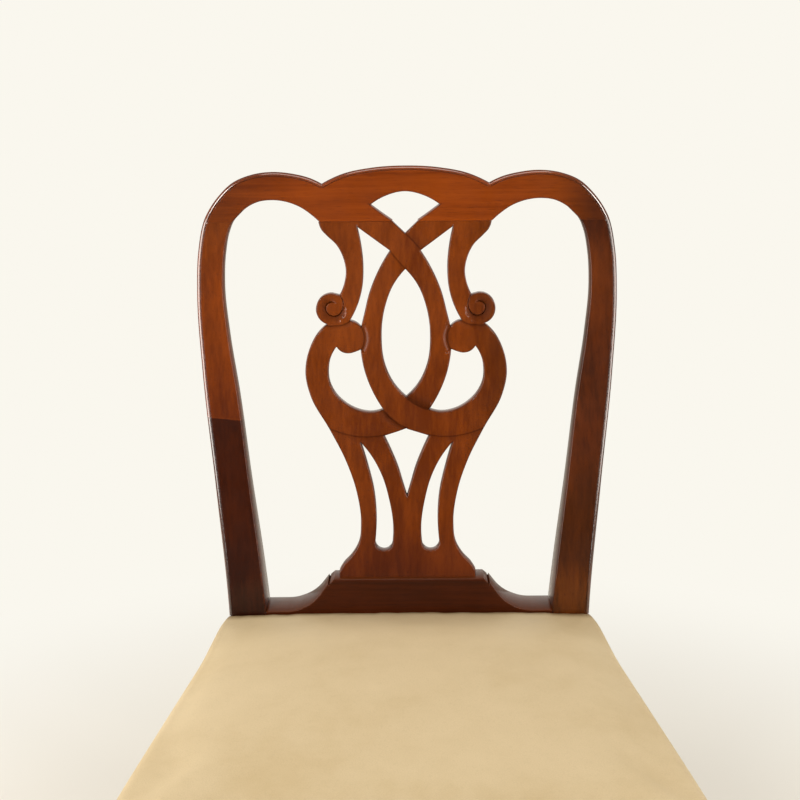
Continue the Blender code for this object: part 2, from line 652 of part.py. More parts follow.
# Stretchers
STRETCHER_TOP = SIDE_STRETCHER_BOTTOM + STRETCHER_HEIGHT
STRETCHER_LEG_X = rail_outer(LEG_BACK_Y) - LEG_SIDE / 2.0
STRETCHER_POST_X = (POST_FOOT_OUTER + POST_FOOT_INNER) * POST_SCALE / 2.0
STRETCHER_POST_Y = leg_front(SIDE_STRETCHER_BOTTOM + STRETCHER_HEIGHT / 2.0)
STRETCHER_SLOPE = (STRETCHER_LEG_X - STRETCHER_POST_X) / (STRETCHER_POST_Y - LEG_BACK_Y)


def stretcher_mid(y):
    return STRETCHER_POST_X + STRETCHER_SLOPE * (STRETCHER_POST_Y - y)


def stretcher_loop(front, back, half):
    return [(stretcher_mid(front) + half, front), (stretcher_mid(back) + half, back),
            (stretcher_mid(back) - half, back), (stretcher_mid(front) - half, front)]


def stretcher_tenon(side, grow):
    loop = stretcher_loop(LEG_BACK_Y - STRETCHER_TENON_LENGTH - grow,
                          STRETCHER_POST_Y + STRETCHER_TENON_LENGTH + grow,
                          STRETCHER_TENON_THICKNESS / 2.0 + grow)
    return prism([sided(loop, side)], "PLAN", SIDE_STRETCHER_BOTTOM + STRETCHER_TENON_SHOULDER - grow,
                 STRETCHER_TOP - STRETCHER_TENON_SHOULDER + grow)


def make_side_stretcher(side, name):
    back = STRETCHER_POST_Y + 0.022
    loop = stretcher_loop(LEG_BACK_Y + JOINT_GAP, back, STRETCHER_THICKNESS / 2.0)
    made = piece(name, prism([sided(loop, side)], "PLAN", SIDE_STRETCHER_BOTTOM, STRETCHER_TOP), MAHOGANY)
    ends = sorted((side * 0.10 * POST_SCALE, side * 0.30 * POST_SCALE))
    cut(made, prism([post_profile(0.0, JOINT_GAP)], "SIDE", *ends))
    join(made, stretcher_tenon(side, 0.0))
    cut(LEGS[side], stretcher_tenon(side, TENON_GAP))
    cut(POSTS[side], stretcher_tenon(side, TENON_GAP))
    return made


SIDE_STRETCHERS = {-1: make_side_stretcher(-1, "side_stretcher_left"),
                   1: make_side_stretcher(1, "side_stretcher_right")}

CROSS_MID_Y = -CROSS_STRETCHER_SETBACK
CROSS_LOW = SIDE_STRETCHER_BOTTOM + 0.003
CROSS_HIGH = STRETCHER_TOP - 0.003


def cross_loop(half, reach):
    front = CROSS_MID_Y - half
    back = CROSS_MID_Y + half
    inner = STRETCHER_THICKNESS / 2.0 - reach
    return mirrored([(stretcher_mid(front) - inner, front), (stretcher_mid(back) - inner, back)])


def cross_tenon(grow):
    loop = cross_loop(STRETCHER_TENON_THICKNESS / 2.0 + grow, CROSS_TENON_LENGTH + grow)
    return prism([loop], "PLAN", CROSS_LOW + STRETCHER_TENON_SHOULDER - grow,
                 CROSS_HIGH - STRETCHER_TENON_SHOULDER + grow)


CROSS = piece("cross_stretcher", prism([cross_loop(STRETCHER_THICKNESS / 2.0, -JOINT_GAP)], "PLAN",
                                       CROSS_LOW, CROSS_HIGH), MAHOGANY)
join(CROSS, cross_tenon(0.0))
for SIDE in (-1, 1):
    cut(SIDE_STRETCHERS[SIDE], cross_tenon(TENON_GAP))

REAR_STRETCHER_TOP = REAR_STRETCHER_BOTTOM + STRETCHER_HEIGHT
REAR_STRETCHER_Z = (REAR_STRETCHER_BOTTOM + REAR_STRETCHER_TOP) / 2.0
REAR_STRETCHER_Y = leg_front(REAR_STRETCHER_Z) + leg_depth(REAR_STRETCHER_Z) / 2.0
LEAN = (POST_INNER_HALF - POST_FOOT_INNER * POST_SCALE) / (RAIL_BOTTOM - GLIDE_HEIGHT)
REAR_STRETCHER_END = POST_FOOT_INNER * POST_SCALE + LEAN * (REAR_STRETCHER_BOTTOM - GLIDE_HEIGHT) - JOINT_GAP


def rear_stretcher_tenon(grow):
    half = REAR_STRETCHER_END + STRETCHER_TENON_LENGTH + grow
    thick = STRETCHER_TENON_THICKNESS / 2.0 + grow
    return block(-half, half, REAR_STRETCHER_Y - thick, REAR_STRETCHER_Y + thick,
                 REAR_STRETCHER_BOTTOM + STRETCHER_TENON_SHOULDER - grow,
                 REAR_STRETCHER_TOP - STRETCHER_TENON_SHOULDER + grow)


REAR_STRETCHER = piece("rear_stretcher", block(-REAR_STRETCHER_END, REAR_STRETCHER_END,
                                               REAR_STRETCHER_Y - STRETCHER_THICKNESS / 2.0,
                                               REAR_STRETCHER_Y + STRETCHER_THICKNESS / 2.0,
                                               REAR_STRETCHER_BOTTOM, REAR_STRETCHER_TOP), MAHOGANY)
join(REAR_STRETCHER, rear_stretcher_tenon(0.0))
for SIDE in (-1, 1):
    cut(POSTS[SIDE], rear_stretcher_tenon(TENON_GAP))


# Turned metal pieces
def turned(profile):
    """A profile of (radius, height) points, from the axis round to the axis again."""
    mesh = bpy.data.meshes.new("turning")
    stops = [(r, 0.0, h) for r, h in profile]
    mesh.from_pydata(stops, [(i, i + 1) for i in range(len(stops) - 1)], [])
    holder = bpy.data.objects.new("turning", mesh)
    bpy.context.scene.collection.objects.link(holder)
    sweep = holder.modifiers.new("turn", "SCREW")
    sweep.steps = 16
    sweep.render_steps = 16
    sweep.use_merge_vertices = True
    sweep.merge_threshold = 0.00001
    bpy.context.view_layer.update()
    ready = holder.evaluated_get(bpy.context.evaluated_depsgraph_get())
    swept = bpy.data.meshes.new_from_object(ready)
    bpy.data.objects.remove(holder, do_unlink=True)
    bpy.data.meshes.remove(mesh)
    bm = bmesh.new()
    bm.from_mesh(swept)
    bpy.data.meshes.remove(swept)
    bmesh.ops.remove_doubles(bm, verts=bm.verts[:], dist=1e-6)
    return mesh_from(bm, "turned")


def placed(mesh, spot, direction):
    """Turn a mesh so that its +Z lies along the direction, and move it to the spot."""
    turn = Vector(direction).to_track_quat("Z", "Y").to_matrix().to_4x4()
    mesh.transform(Matrix.Translation(Vector(spot)) @ turn)
    return mesh


def rod(radius, low, high):
    return turned([(0.0, low), (radius, low), (radius, high), (0.0, high)])


def screw_mesh():
    """A round-headed wood screw: its head sits on height 0 and its point is at minus SCREW_LENGTH."""
    tip = -SCREW_LENGTH
    return turned([(0.0, SCREW_HEAD_HEIGHT), (0.5 * SCREW_HEAD_RADIUS, 0.93 * SCREW_HEAD_HEIGHT),
                   (0.85 * SCREW_HEAD_RADIUS, 0.62 * SCREW_HEAD_HEIGHT), (SCREW_HEAD_RADIUS, 0.0),
                   (SCREW_SHANK_RADIUS, 0.0), (SCREW_SHANK_RADIUS, tip + 0.006), (0.0, tip)])


# Corner blocks, each screwed to the two rails it braces
BLOCK_LOW = (RAIL_TOP + RAIL_BOTTOM - BLOCK_HEIGHT) / 2.0
BLOCK_MID = BLOCK_LOW + BLOCK_HEIGHT / 2.0
FRONT_RAIL_BACK = RAIL_FRONT_Y + RAIL_THICKNESS


def make_screw(name, spot, direction, host, rail):
    """A screw through a corner block into a rail; direction points from the rail out to the head."""
    piece(name, placed(screw_mesh(), spot, direction), STEEL)
    shank = SCREW_SHANK_RADIUS + TENON_GAP
    low = -SCREW_LENGTH - 0.001
    for target in (host, rail):
        cut(target, placed(rod(shank, low, 0.001), spot, direction))
    seat = SCREW_HEAD_RADIUS + 2.0 * TENON_GAP
    cut(host, placed(rod(seat, -TENON_GAP, 0.060), spot, direction))


def make_front_block(side, label):
    near = FRONT_RAIL_BACK + JOINT_GAP
    notch = LEG_BACK_Y + JOINT_GAP
    deep = LEG_BACK_Y + BLOCK_REACH
    loop = [(LEG_INNER - BLOCK_REACH, near), (LEG_INNER - JOINT_GAP, near), (LEG_INNER - JOINT_GAP, notch),
            (rail_inner(notch) - JOINT_GAP, notch), (rail_inner(deep) - JOINT_GAP, deep)]
    made = piece(f"corner_block_front_{label}",
                 prism([sided(loop, side)], "PLAN", BLOCK_LOW, BLOCK_LOW + BLOCK_HEIGHT), BEECH)
    x = LEG_INNER - 0.55 * BLOCK_REACH
    make_screw(f"block_screw_front_{label}_a", (side * x, FRONT_RAIL_BACK + SCREW_SEAT, BLOCK_MID),
               (0, 1, 0), made, FRONT_RAIL)
    y = LEG_BACK_Y + 0.42 * BLOCK_REACH
    make_screw(f"block_screw_front_{label}_b", (side * (rail_inner(y) - SCREW_SEAT), y, BLOCK_MID),
               (-side, 0, 0), made, SIDE_RAILS[side])


def make_rear_block(side, label):
    near = -JOINT_GAP
    deep = -BLOCK_REACH
    loop = [(rail_inner(near) - JOINT_GAP, near), (rail_inner(deep) - JOINT_GAP, deep),
            (POST_INNER_HALF - 0.85 * BLOCK_REACH, near)]
    made = piece(f"corner_block_rear_{label}",
                 prism([sided(loop, side)], "PLAN", BLOCK_LOW, BLOCK_LOW + BLOCK_HEIGHT), BEECH)
    x = POST_INNER_HALF - 0.22 * BLOCK_REACH
    make_screw(f"block_screw_rear_{label}_a", (side * x, -SCREW_SEAT, BLOCK_MID), (0, -1, 0), made, REAR_RAIL)
    y = -0.62 * BLOCK_REACH
    make_screw(f"block_screw_rear_{label}_b", (side * (rail_inner(y) - SCREW_SEAT), y, BLOCK_MID),
               (-side, 0, 0), made, SIDE_RAILS[side])


for SIDE, LABEL in ((-1, "left"), (1, "right")):
    make_front_block(SIDE, LABEL)
    make_rear_block(SIDE, LABEL)


# Foot glides with their nails
def make_glide(name, x, y, leg):
    top = GLIDE_HEIGHT - JOINT_GAP
    nail = top + GLIDE_NAIL_LENGTH
    profile = [(0.0, 0.0), (0.8 * GLIDE_RADIUS, 0.0), (GLIDE_RADIUS, 0.4 * top), (GLIDE_RADIUS, top),
               (GLIDE_NAIL_RADIUS, top), (GLIDE_NAIL_RADIUS, nail - 0.003), (0.0, nail)]
    piece(name, placed(turned(profile), (x, y, 0.0), (0, 0, 1)), STEEL)
    hole = rod(GLIDE_NAIL_RADIUS + TENON_GAP, -0.001, nail + 0.001)
    cut(leg, placed(hole, (x, y, 0.0), (0, 0, 1)))


LEG_MID_X = (rail_outer(RAIL_FRONT_Y) + LEG_INNER) / 2.0 - 0.001
POST_FOOT_X = (POST_FOOT_OUTER + POST_FOOT_INNER) * POST_SCALE / 2.0
POST_FOOT_Y = leg_front(GLIDE_HEIGHT) + leg_depth(GLIDE_HEIGHT) / 2.0
for SIDE, LABEL in ((-1, "left"), (1, "right")):
    make_glide(f"foot_glide_front_{LABEL}", SIDE * LEG_MID_X, RAIL_FRONT_Y + LEG_SIDE / 2.0, LEGS[SIDE])
    make_glide(f"foot_glide_rear_{LABEL}", SIDE * POST_FOOT_X, POST_FOOT_Y, POSTS[SIDE])

# Webbing: each strap rises over every second strap that it crosses
WEB_LOW = RAIL_TOP + JOINT_GAP
WEB_STEP = WEB_THICKNESS + JOINT_GAP
WEB_MID_Y = RAIL_FRONT_Y / 2.0


def strap_profile(ends, crossings):
    """Side view of a strap: flat, with a step up over each crossing strap."""
    reach = WEB_WIDTH / 2.0 + 0.004
    top = [(ends[0], WEB_LOW)]
    for mid in crossings:
        top += [(mid - reach - 0.012, WEB_LOW), (mid - reach, WEB_LOW + WEB_STEP),
                (mid + reach, WEB_LOW + WEB_STEP), (mid + reach + 0.012, WEB_LOW)]
    top.append((ends[1], WEB_LOW))
    return top + [(u, z + WEB_THICKNESS) for u, z in reversed(top)]


ACROSS = [-WEB_SPACING_ACROSS, 0.0, WEB_SPACING_ACROSS]
ALONG = [WEB_MID_Y - WEB_SPACING_ALONG, WEB_MID_Y, WEB_MID_Y + WEB_SPACING_ALONG]
for I, X in enumerate(ACROSS):
    OVER = [y for j, y in enumerate(ALONG) if (I + j) % 2 == 0]
    LOOP = strap_profile((RAIL_FRONT_Y + SHEET_INSET, SHOE_REBATE_DEPTH - 0.004), OVER)
    STRAP = prism([LOOP], "SIDE", X - WEB_WIDTH / 2.0, X + WEB_WIDTH / 2.0)
    piece(f"webbing_lengthwise_{I + 1}", STRAP, JUTE)
for J, Y in enumerate(ALONG):
    OVER = [x for i, x in enumerate(ACROSS) if (i + J) % 2 == 1]
    HALF = rail_outer(Y + WEB_WIDTH / 2.0) - SHEET_INSET
    LOOP = strap_profile((-HALF, HALF), OVER)
    STRAP = prism([LOOP], "FRONT", Y - WEB_WIDTH / 2.0, Y + WEB_WIDTH / 2.0)
    piece(f"webbing_crosswise_{J + 1}", STRAP, JUTE)

# Sheets: hessian over the webbing, dust cover under the rails
HESSIAN_LOW = WEB_LOW + WEB_STEP + WEB_THICKNESS + JOINT_GAP
SHEET_FRONT = RAIL_FRONT_Y + SHEET_INSET
SHEET_BACK = -2.0 * JOINT_GAP
TUCK_HALF = SHOE_END - 0.002
HESSIAN_LOOP = mirrored([(rail_outer(SHEET_FRONT) - SHEET_INSET, SHEET_FRONT),
                         (rail_outer(SHEET_BACK) - SHEET_INSET, SHEET_BACK), (TUCK_HALF, SHEET_BACK),
                         (TUCK_HALF, SHOE_REBATE_DEPTH - 0.003)])
piece("seat_hessian", prism([HESSIAN_LOOP], "PLAN", HESSIAN_LOW, HESSIAN_LOW + HESSIAN_THICKNESS), HESSIAN)

DUST_HIGH = RAIL_BOTTOM - COVER_THICKNESS - 2.0 * JOINT_GAP
LEG_CLEAR = LEG_INNER - 0.001
NOTCH_Y = LEG_BACK_Y + 0.001
DUST_LOOP = mirrored([(LEG_CLEAR, SHEET_FRONT), (LEG_CLEAR, NOTCH_Y),
                      (rail_outer(NOTCH_Y) - SHEET_INSET, NOTCH_Y),
                      (rail_outer(SHEET_BACK) - SHEET_INSET, SHEET_BACK), (TUCK_HALF, SHEET_BACK),
                      (TUCK_HALF, REAR_RAIL_THICKNESS - SHEET_INSET)])
piece("dust_cover", prism([DUST_LOOP], "PLAN", DUST_HIGH - DUST_COVER_THICKNESS, DUST_HIGH), CAMBRIC)


# Stuffed seat: one domed form, offset inwards for each layer
def grid_stops(low, high, near_low, near_high, middle):
    """Places across the form, close together inside the two rolled edges."""
    start = [low + near_low * f for f in (0.0, 0.12, 0.4)]
    end = [high - near_high * f for f in (0.4, 0.12, 0.0)]
    return start + span(low + near_low, high - near_high, middle) + end


def key(co):
    return tuple(round(c, 6) for c in co)


def roll_drop(distance, radius):
    """How far a rounded edge falls below the dome at a distance in from the wall."""
    inside = max(0.0, radius - distance)
    return radius - math.sqrt(max(0.0, radius * radius - inside * inside))


def bulge(y):
    """How far the roll stands out past the rail line: nothing at the posts, full in front of them."""
    return SEAT_ROLL * math.sqrt(min(1.0, max(0.0, -y / 0.03)))


def dome(x, y, inset):
    """Height of the stuffed top: low along the back, full in the middle."""
    half = COVER_REAR_HALF - SEAT_FLARE * y
    u = min(1.0, abs(x) / half)
    back = min(1.0, max(0.0, -y / SEAT_DEPTH))
    along = 0.1 + 0.9 * math.sin(math.pi * back**0.8)
    return SEAT_LINE_Z - SEAT_CORNER_DIP * u**4 + SEAT_CROWN * (1.0 - u**2.4) * along - inset


def seat_form(inset):
    """The open top of the seat, the edges round it, and where its corners stand before they are rounded."""
    bm = bmesh.new()
    square = {}
    rear = -JOINT_GAP - inset
    front = -SEAT_DEPTH - SEAT_ROLL + inset
    radius = SEAT_EDGE_RADIUS - inset
    rear_radius = SEAT_REAR_RADIUS - inset
    rows = grid_stops(rear, front, -rear_radius, -radius, 9)
    cols = 17
    bmesh.ops.create_grid(bm, x_segments=cols - 1, y_segments=len(rows) - 1, size=1.0)
    bm.verts.ensure_lookup_table()
    order = sorted(bm.verts, key=lambda v: (round(-v.co.y, 4), round(v.co.x, 4)))
    for index, vert in enumerate(order):
        y = rows[index // cols]
        half = COVER_REAR_HALF - SEAT_FLARE * y - inset + bulge(y)
        stops = grid_stops(-half, half, radius, radius, 10)
        x = stops[index % cols]
        u = abs(x) / half
        v = max(0.0, (y - rear) / (front - rear))
        pull = (SEAT_CORNER_PULL + inset) * (u * v) ** 9.0
        slim = radius * (0.35 + 0.65 * min(1.0, -y / 0.12))
        side = roll_drop(half - abs(x), slim)
        face = roll_drop(y - front, radius)
        tuck = roll_drop(rear - y, rear_radius)
        fall = min(radius, math.hypot(side, face)) + tuck
        z = dome(x, y, inset) - min(fall, radius)
        vert.co = (x * (1.0 - pull), y + (rear - y) * pull, z)
        ease = CORNER_EASE if u > 0.999 and v > 0.999 else 0.0
        square[key(vert.co)] = Vector((math.copysign(abs(x) - ease, x), y + ease, z))
    edges = [e for e in bm.edges if e.is_boundary]
    return bm, edges, rear, square


def lowered(bm, edges, move):
    """Extrude edges and place each new corner by its old place."""
    made = bmesh.ops.extrude_edge_only(bm, edges=edges)["geom"]
    for vert in (g for g in made if isinstance(g, bmesh.types.BMVert)):
        vert.co = move(vert.co)
    return [g for g in made if isinstance(g, bmesh.types.BMEdge) and g.is_boundary]


def drawn_in(co, inset, z):
    """A wall point below the roll: on the rail line, whatever the roll above it does."""
    half = COVER_REAR_HALF - SEAT_FLARE * co.y - inset
    x = co.x * half / (half + bulge(co.y))
    middle = -SEAT_DEPTH / 2.0
    depth = SEAT_DEPTH / 2.0
    y = co.y if co.y > middle else middle + (co.y - middle) * depth / (depth + SEAT_ROLL)
    return Vector((x, y, z))


WALL_BREAK = HESSIAN_LOW + HESSIAN_THICKNESS + JOINT_GAP


def walls(bm, edges, rear, square, inset, bottom):
    """Carry the edges down: all round to the sheet below the stuffing, then the rail faces."""
    ring = lowered(bm, edges, lambda co: drawn_in(square[key(co)], inset, WALL_BREAK))
    faces = [e for e in ring if not all(abs(v.co.y - rear) < 1e-5 for v in e.verts)]
    faces = [e for e in faces if abs(e.verts[0].co.z - e.verts[1].co.z) < 1e-6]
    return lowered(bm, faces, lambda co: Vector((co.x, co.y, bottom)))


def shell(name, bm, thickness, look):
    made = piece(name, mesh_from(bm, name), look)
    skin = made.modifiers.new("thickness", "SOLIDIFY")
    skin.thickness = thickness
    skin.offset = -1.0
    skin.use_even_offset = True
    skin.use_rim = True
    return made


def turn_in(co):
    """The hem folded in under a rail."""
    half = COVER_REAR_HALF - SEAT_FLARE * co.y
    x = co.x * (half - COVER_TURN_UNDER) / half
    y = co.y * (SEAT_DEPTH - COVER_TURN_UNDER) / SEAT_DEPTH
    return Vector((x, y, co.z))


FORM, EDGES, REAR, SQUARE = seat_form(0.0)
HEM = walls(FORM, EDGES, REAR, SQUARE, 0.0, RAIL_BOTTOM - COVER_THICKNESS - JOINT_GAP)
HEM = [e for e in HEM if abs(e.verts[0].co.z - e.verts[1].co.z) < 1e-6]
lowered(FORM, HEM, turn_in)
COVER = shell("seat_cover", FORM, COVER_THICKNESS, LEATHER)
for SIDE in (-1, 1):
    cut(COVER, prism([sided(leg_section(2.0 * JOINT_GAP), SIDE)], "PLAN", RAIL_BOTTOM - 0.010,
                     RAIL_BOTTOM + 0.001))

WAD_INSET = COVER_THICKNESS + LAYER_GAP
FORM, EDGES, REAR, SQUARE = seat_form(WAD_INSET)
walls(FORM, EDGES, REAR, SQUARE, WAD_INSET, RAIL_BOTTOM + 0.002)
shell("seat_wadding", FORM, WADDING_THICKNESS, COTTON)

FORM, EDGES, REAR, SQUARE = seat_form(UPHOLSTERY)
BASE = lowered(FORM, EDGES, lambda co: drawn_in(SQUARE[key(co)], UPHOLSTERY, WALL_BREAK))
bmesh.ops.holes_fill(FORM, edges=BASE, sides=0)
piece("seat_stuffing", mesh_from(FORM, "stuffing"), HAIR)
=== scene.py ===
"""Georgian side chair in its finished state: carved mahogany back, drawn-over leather seat, square legs.

Metres, +Z up, the chair faces -Y. Rises are heights above the seat line; the back line is the plane of
the rear posts' front faces at the seat.
"""
import math

import bmesh
import bpy
import numpy as np
from mathutils import Matrix, Vector
from mathutils.geometry import delaunay_2d_cdt
from mathutils.kdtree import KDTree


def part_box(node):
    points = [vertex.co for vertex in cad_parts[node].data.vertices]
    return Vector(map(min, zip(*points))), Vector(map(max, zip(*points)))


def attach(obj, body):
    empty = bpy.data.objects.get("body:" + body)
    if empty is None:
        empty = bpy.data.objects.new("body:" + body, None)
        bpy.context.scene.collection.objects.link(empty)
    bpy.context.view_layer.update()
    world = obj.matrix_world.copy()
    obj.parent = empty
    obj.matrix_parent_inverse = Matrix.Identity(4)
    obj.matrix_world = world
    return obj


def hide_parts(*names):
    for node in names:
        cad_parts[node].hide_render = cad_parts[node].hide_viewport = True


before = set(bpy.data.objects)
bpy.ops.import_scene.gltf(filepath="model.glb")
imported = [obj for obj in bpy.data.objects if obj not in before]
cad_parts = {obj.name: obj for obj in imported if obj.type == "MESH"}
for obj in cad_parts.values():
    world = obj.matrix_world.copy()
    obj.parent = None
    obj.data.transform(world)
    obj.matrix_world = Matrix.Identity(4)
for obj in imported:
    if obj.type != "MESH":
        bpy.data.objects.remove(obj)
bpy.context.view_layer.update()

# Sizes shared with the solids
SEAT_LINE_Z = 0.474
BACK_LINE_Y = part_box("rear_seat_rail")[0][1]
RAIL_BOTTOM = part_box("rear_seat_rail")[0][2]
RAIL_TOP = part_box("rear_seat_rail")[1][2]
FOOT_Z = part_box("rear_post_left")[0][2]
JOINT_GAP = 0.0003
TIGHT_JOINT = 0.00005
JOINT_RISE = 0.444
POST_TOP_RISE = JOINT_RISE + JOINT_GAP - TIGHT_JOINT
CREST_HEIGHT = 0.059
CREST_TOP_RISE = JOINT_RISE + CREST_HEIGHT
CREST_THICKNESS = 0.022
SPLAT_THICKNESS = 0.014
SPLAT_BASE = 0.0423
DRAWN_SPLAT_HEIGHT = 0.402
SHOE_RISE = 0.0430
SHOE_DEPTH = 0.046
SHOE_TOP_DEPTH = 0.030
SHOE_WING_RISE = 0.0032
POST_DEPTH_AT_SEAT = 0.050
POST_DEPTH_AT_TOP = 0.022
REAR_FOOT_DEPTH = 0.034
REAR_LEG_SPLAY = 0.058
RAKE_AT_SEAT = math.tan(math.radians(8.5))
RAKE_AT_TOP = math.tan(math.radians(12.0))

# Kinds of edge on a carved board
ARRIS = "arris"
BEAD = "bead"
NOSING = "nosing"
JOINT = "joint"

# The way the back's outlines run up across the joint of post and crest
JOINT_RUN_OUTER = (-0.31, 0.95)
JOINT_RUN_INNER = (-0.54, 0.84)

# Half outlines of the back, x from the middle
POST_OUTER = [(0.2084, 0.0000), (0.2214, 0.1500), (0.2338, 0.2770), (0.2386, 0.3660), (0.2368, 0.4100),
              (0.2304, POST_TOP_RISE)]
POST_INNER = [(0.1660, 0.0040), (0.1712, 0.0580), (0.1822, 0.1500), (0.1937, 0.2500), (0.2038, 0.3180),
              (0.2088, 0.3720), (0.2069, 0.4100), (0.2026, 0.4320), (0.1974, POST_TOP_RISE)]
POST_FOOT_OUTER = 0.200
POST_RAIL_OUTER = 0.2055
POST_FOOT_INNER = 0.164
CREST_ARCH = [(0.0000, 0.0611), (0.0384, 0.0589), (0.0737, 0.0515), (0.0950, 0.0416)]
CREST_SHOULDER = [(0.0950, 0.0416), (0.1076, 0.0476), (0.1278, 0.0528), (0.1510, 0.0551), (0.1758, 0.0521),
                  (0.1969, 0.0436), (0.2124, 0.0294), (0.2232, 0.0148), (0.2304, 0.0000)]
CREST_EYE = [(0.1974, 0.0000), (0.1909, 0.0070), (0.1815, 0.0156), (0.1678, 0.0223), (0.1521, 0.0242),
             (0.1343, 0.0218), (0.1194, 0.0160), (0.1068, 0.0075), (0.0982, 0.0000)]
CREST_FAN_SIDE = [(0.0144, 0.0000), (0.0248, 0.0071), (0.0397, 0.0179)]
CREST_FAN_TOP = [(0.0397, 0.0179), (0.0217, 0.0281), (0.0000, 0.0329)]
SPLAT_FOOT = [(0.0785, 0.0071), (0.0736, 0.0149), (0.0648, 0.0241), (0.0566, 0.0377), (0.0532, 0.0628),
              (0.0579, 0.0989), (0.0701, 0.1348), (0.0888, 0.1712), (0.1091, 0.2072), (0.1149, 0.2329),
              (0.1094, 0.2622), (0.0995, 0.2789), (0.0896, 0.2879)]
SPLAT_FOOT_HALF = 0.0785
VOLUTE_CENTRE = (0.0848, 0.3050)
VOLUTE_RADIUS = 0.0173
VOLUTE_START = -72.0
VOLUTE_END = 96.0
SPLAT_NECK = [(0.0750, 0.3202), (0.0698, 0.3330), (0.0676, 0.3471), (0.0695, 0.3588), (0.0782, 0.3766),
              (0.0886, 0.3865), (0.0953, 0.3938), (0.0982, 0.4020)]
SPLAT_FAN_HALF = 0.0144
SPLAT_FAN_POINT = 0.3885
BLADE_INNER = [(0.0172, 0.3695), (0.0288, 0.3508), (0.0407, 0.3240), (0.0477, 0.2976), (0.0510, 0.2846)]
BLADE_DISC = [(0.0510, 0.2846), (0.0567, 0.2895), (0.0637, 0.2918)]
BLADE_OUTER = [(0.0637, 0.2918), (0.0565, 0.3050), (0.0501, 0.3238), (0.0478, 0.3500), (0.0503, 0.3769),
               (0.0545, 0.3963)]
LENS_SIDE = [(0.0000, 0.3490), (0.0132, 0.3325), (0.0237, 0.3059), (0.0277, 0.2729), (0.0245, 0.2434),
             (0.0149, 0.2218), (0.0000, 0.2055)]
HEART_DISC = [(0.0792, 0.2629), (0.0730, 0.2571), (0.0644, 0.2555), (0.0580, 0.2571), (0.0516, 0.2596)]
HEART_INNER = [(0.0516, 0.2596), (0.0471, 0.2348), (0.0379, 0.2114), (0.0261, 0.1918)]
HEART_OUTER = [(0.0261, 0.1918), (0.0393, 0.1887), (0.0541, 0.1909), (0.0689, 0.1983), (0.0811, 0.2101),
               (0.0876, 0.2241), (0.0885, 0.2367), (0.0855, 0.2518), (0.0792, 0.2629)]
LOWER_FAN_TOP = [(0.0000, 0.1702), (0.0260, 0.1622)]
LOWER_FAN_SIDE = [(0.0260, 0.1622), (0.0174, 0.1441), (0.0099, 0.1258), (0.0042, 0.1069), (0.0000, 0.0934)]
SLOT_OUTER = [(0.0527, 0.1550), (0.0439, 0.1258), (0.0376, 0.0989), (0.0352, 0.0710), (0.0369, 0.0405)]
SLOT_END_CENTRE = (0.0269, 0.0405)
SLOT_END_RADIUS = 0.0100
SLOT_INNER = [(0.0169, 0.0405), (0.0162, 0.0600), (0.0206, 0.0898), (0.0286, 0.1172), (0.0409, 0.1403),
              (0.0527, 0.1550)]
SHOE_CAVETTO = [(0.0933, 0.0379), (0.0983, 0.0303), (0.1047, 0.0214), (0.1145, 0.0124), (0.1241, 0.0073),
                (0.1340, 0.0040), (0.1440, 0.0032)]
SHOE_BLOCK_HALF = 0.0860
SHOE_CHAMFER = (0.0910, 0.0380)
SHOE_QUIRK = (0.0920, 0.0350)
SHOE_END = 0.1657

# Where one strap of the splat passes over another: the over strap's edge as (x, height) points, with the
# lower strap on the left of its direction, then how deep that strap dips and how far the dip runs out.
SIDE_STEPS = [
    ([(0.0625, 0.2925), (0.0675, 0.2889), (0.0733, 0.2869), (0.0803, 0.2864), (0.0879, 0.2863),
      (0.0908, 0.2878)], -1, 0.0010, 0.006),
    ([(0.0510, 0.2855), (0.0484, 0.2795), (0.0472, 0.2730), (0.0479, 0.2670), (0.0512, 0.2590)],
     -1, 0.0012, 0.007),
    ([(0.0250, 0.1635), (0.0409, 0.1614), (0.0550, 0.1618), (0.0638, 0.1632), (0.0780, 0.1670),
      (0.0910, 0.1722)], -1, 0.0006, 0.010),
]
MIDDLE_STEPS = [
    ([(-0.001, 0.2067), (0.0073, 0.1995), (0.0146, 0.1954), (0.0204, 0.1928), (0.0270, 0.1915)],
     1, 0.0021, 0.015),
    ([(-0.0270, 0.1924), (-0.0204, 0.1852), (-0.0124, 0.1784), (-0.0066, 0.1743), (0.0008, 0.1712)],
     -1, 0.0019, 0.010),
    ([(-0.0006, 0.3893), (0.0090, 0.3798), (0.0188, 0.3692)], 1, 0.0005, 0.012),
    ([(-0.0188, 0.3708), (-0.0090, 0.3590), (0.0008, 0.3482)], -1, 0.0005, 0.012),
]
# The carved spiral of a volute, round its eye: angle in degrees and distance
VOLUTE_EYE = (0.0812, 0.3046)
VOLUTE_SPIRAL = [(112.0, 0.0172), (128.0, 0.0147), (146.0, 0.0124), (166.0, 0.0102), (198.0, 0.0084),
                 (247.0, 0.0075), (296.0, 0.0077), (338.0, 0.0088), (370.0, 0.0099), (395.0, 0.0098),
                 (428.0, 0.0088), (452.0, 0.0077), (472.0, 0.0067)]
VOLUTE_SLOPE_DEPTH = 0.0021
VOLUTE_SLOPE = 0.0088
GROOVE_DEPTH = 0.0010
GROOVE_HALF = 0.0008
# Painted shade along a strap's edge, and the gloss of the boards' fronts, backs and walls
STEP_SHADE = 0.75
FLAT_SHINE = 0.17
BACK_SHINE = 0.15
WALL_SHINE = 0.90
CREST_WALL_SHINE = 0.25
# Half of the distance over which a slope is measured
SLOPE_STEP = 0.00006
# The splat and the middle of the crest stand a little left of the posts' middle
CENTRE_SHIFT = -0.0014
# Degrees between the points of an arc
ARC_TURN = 7.0


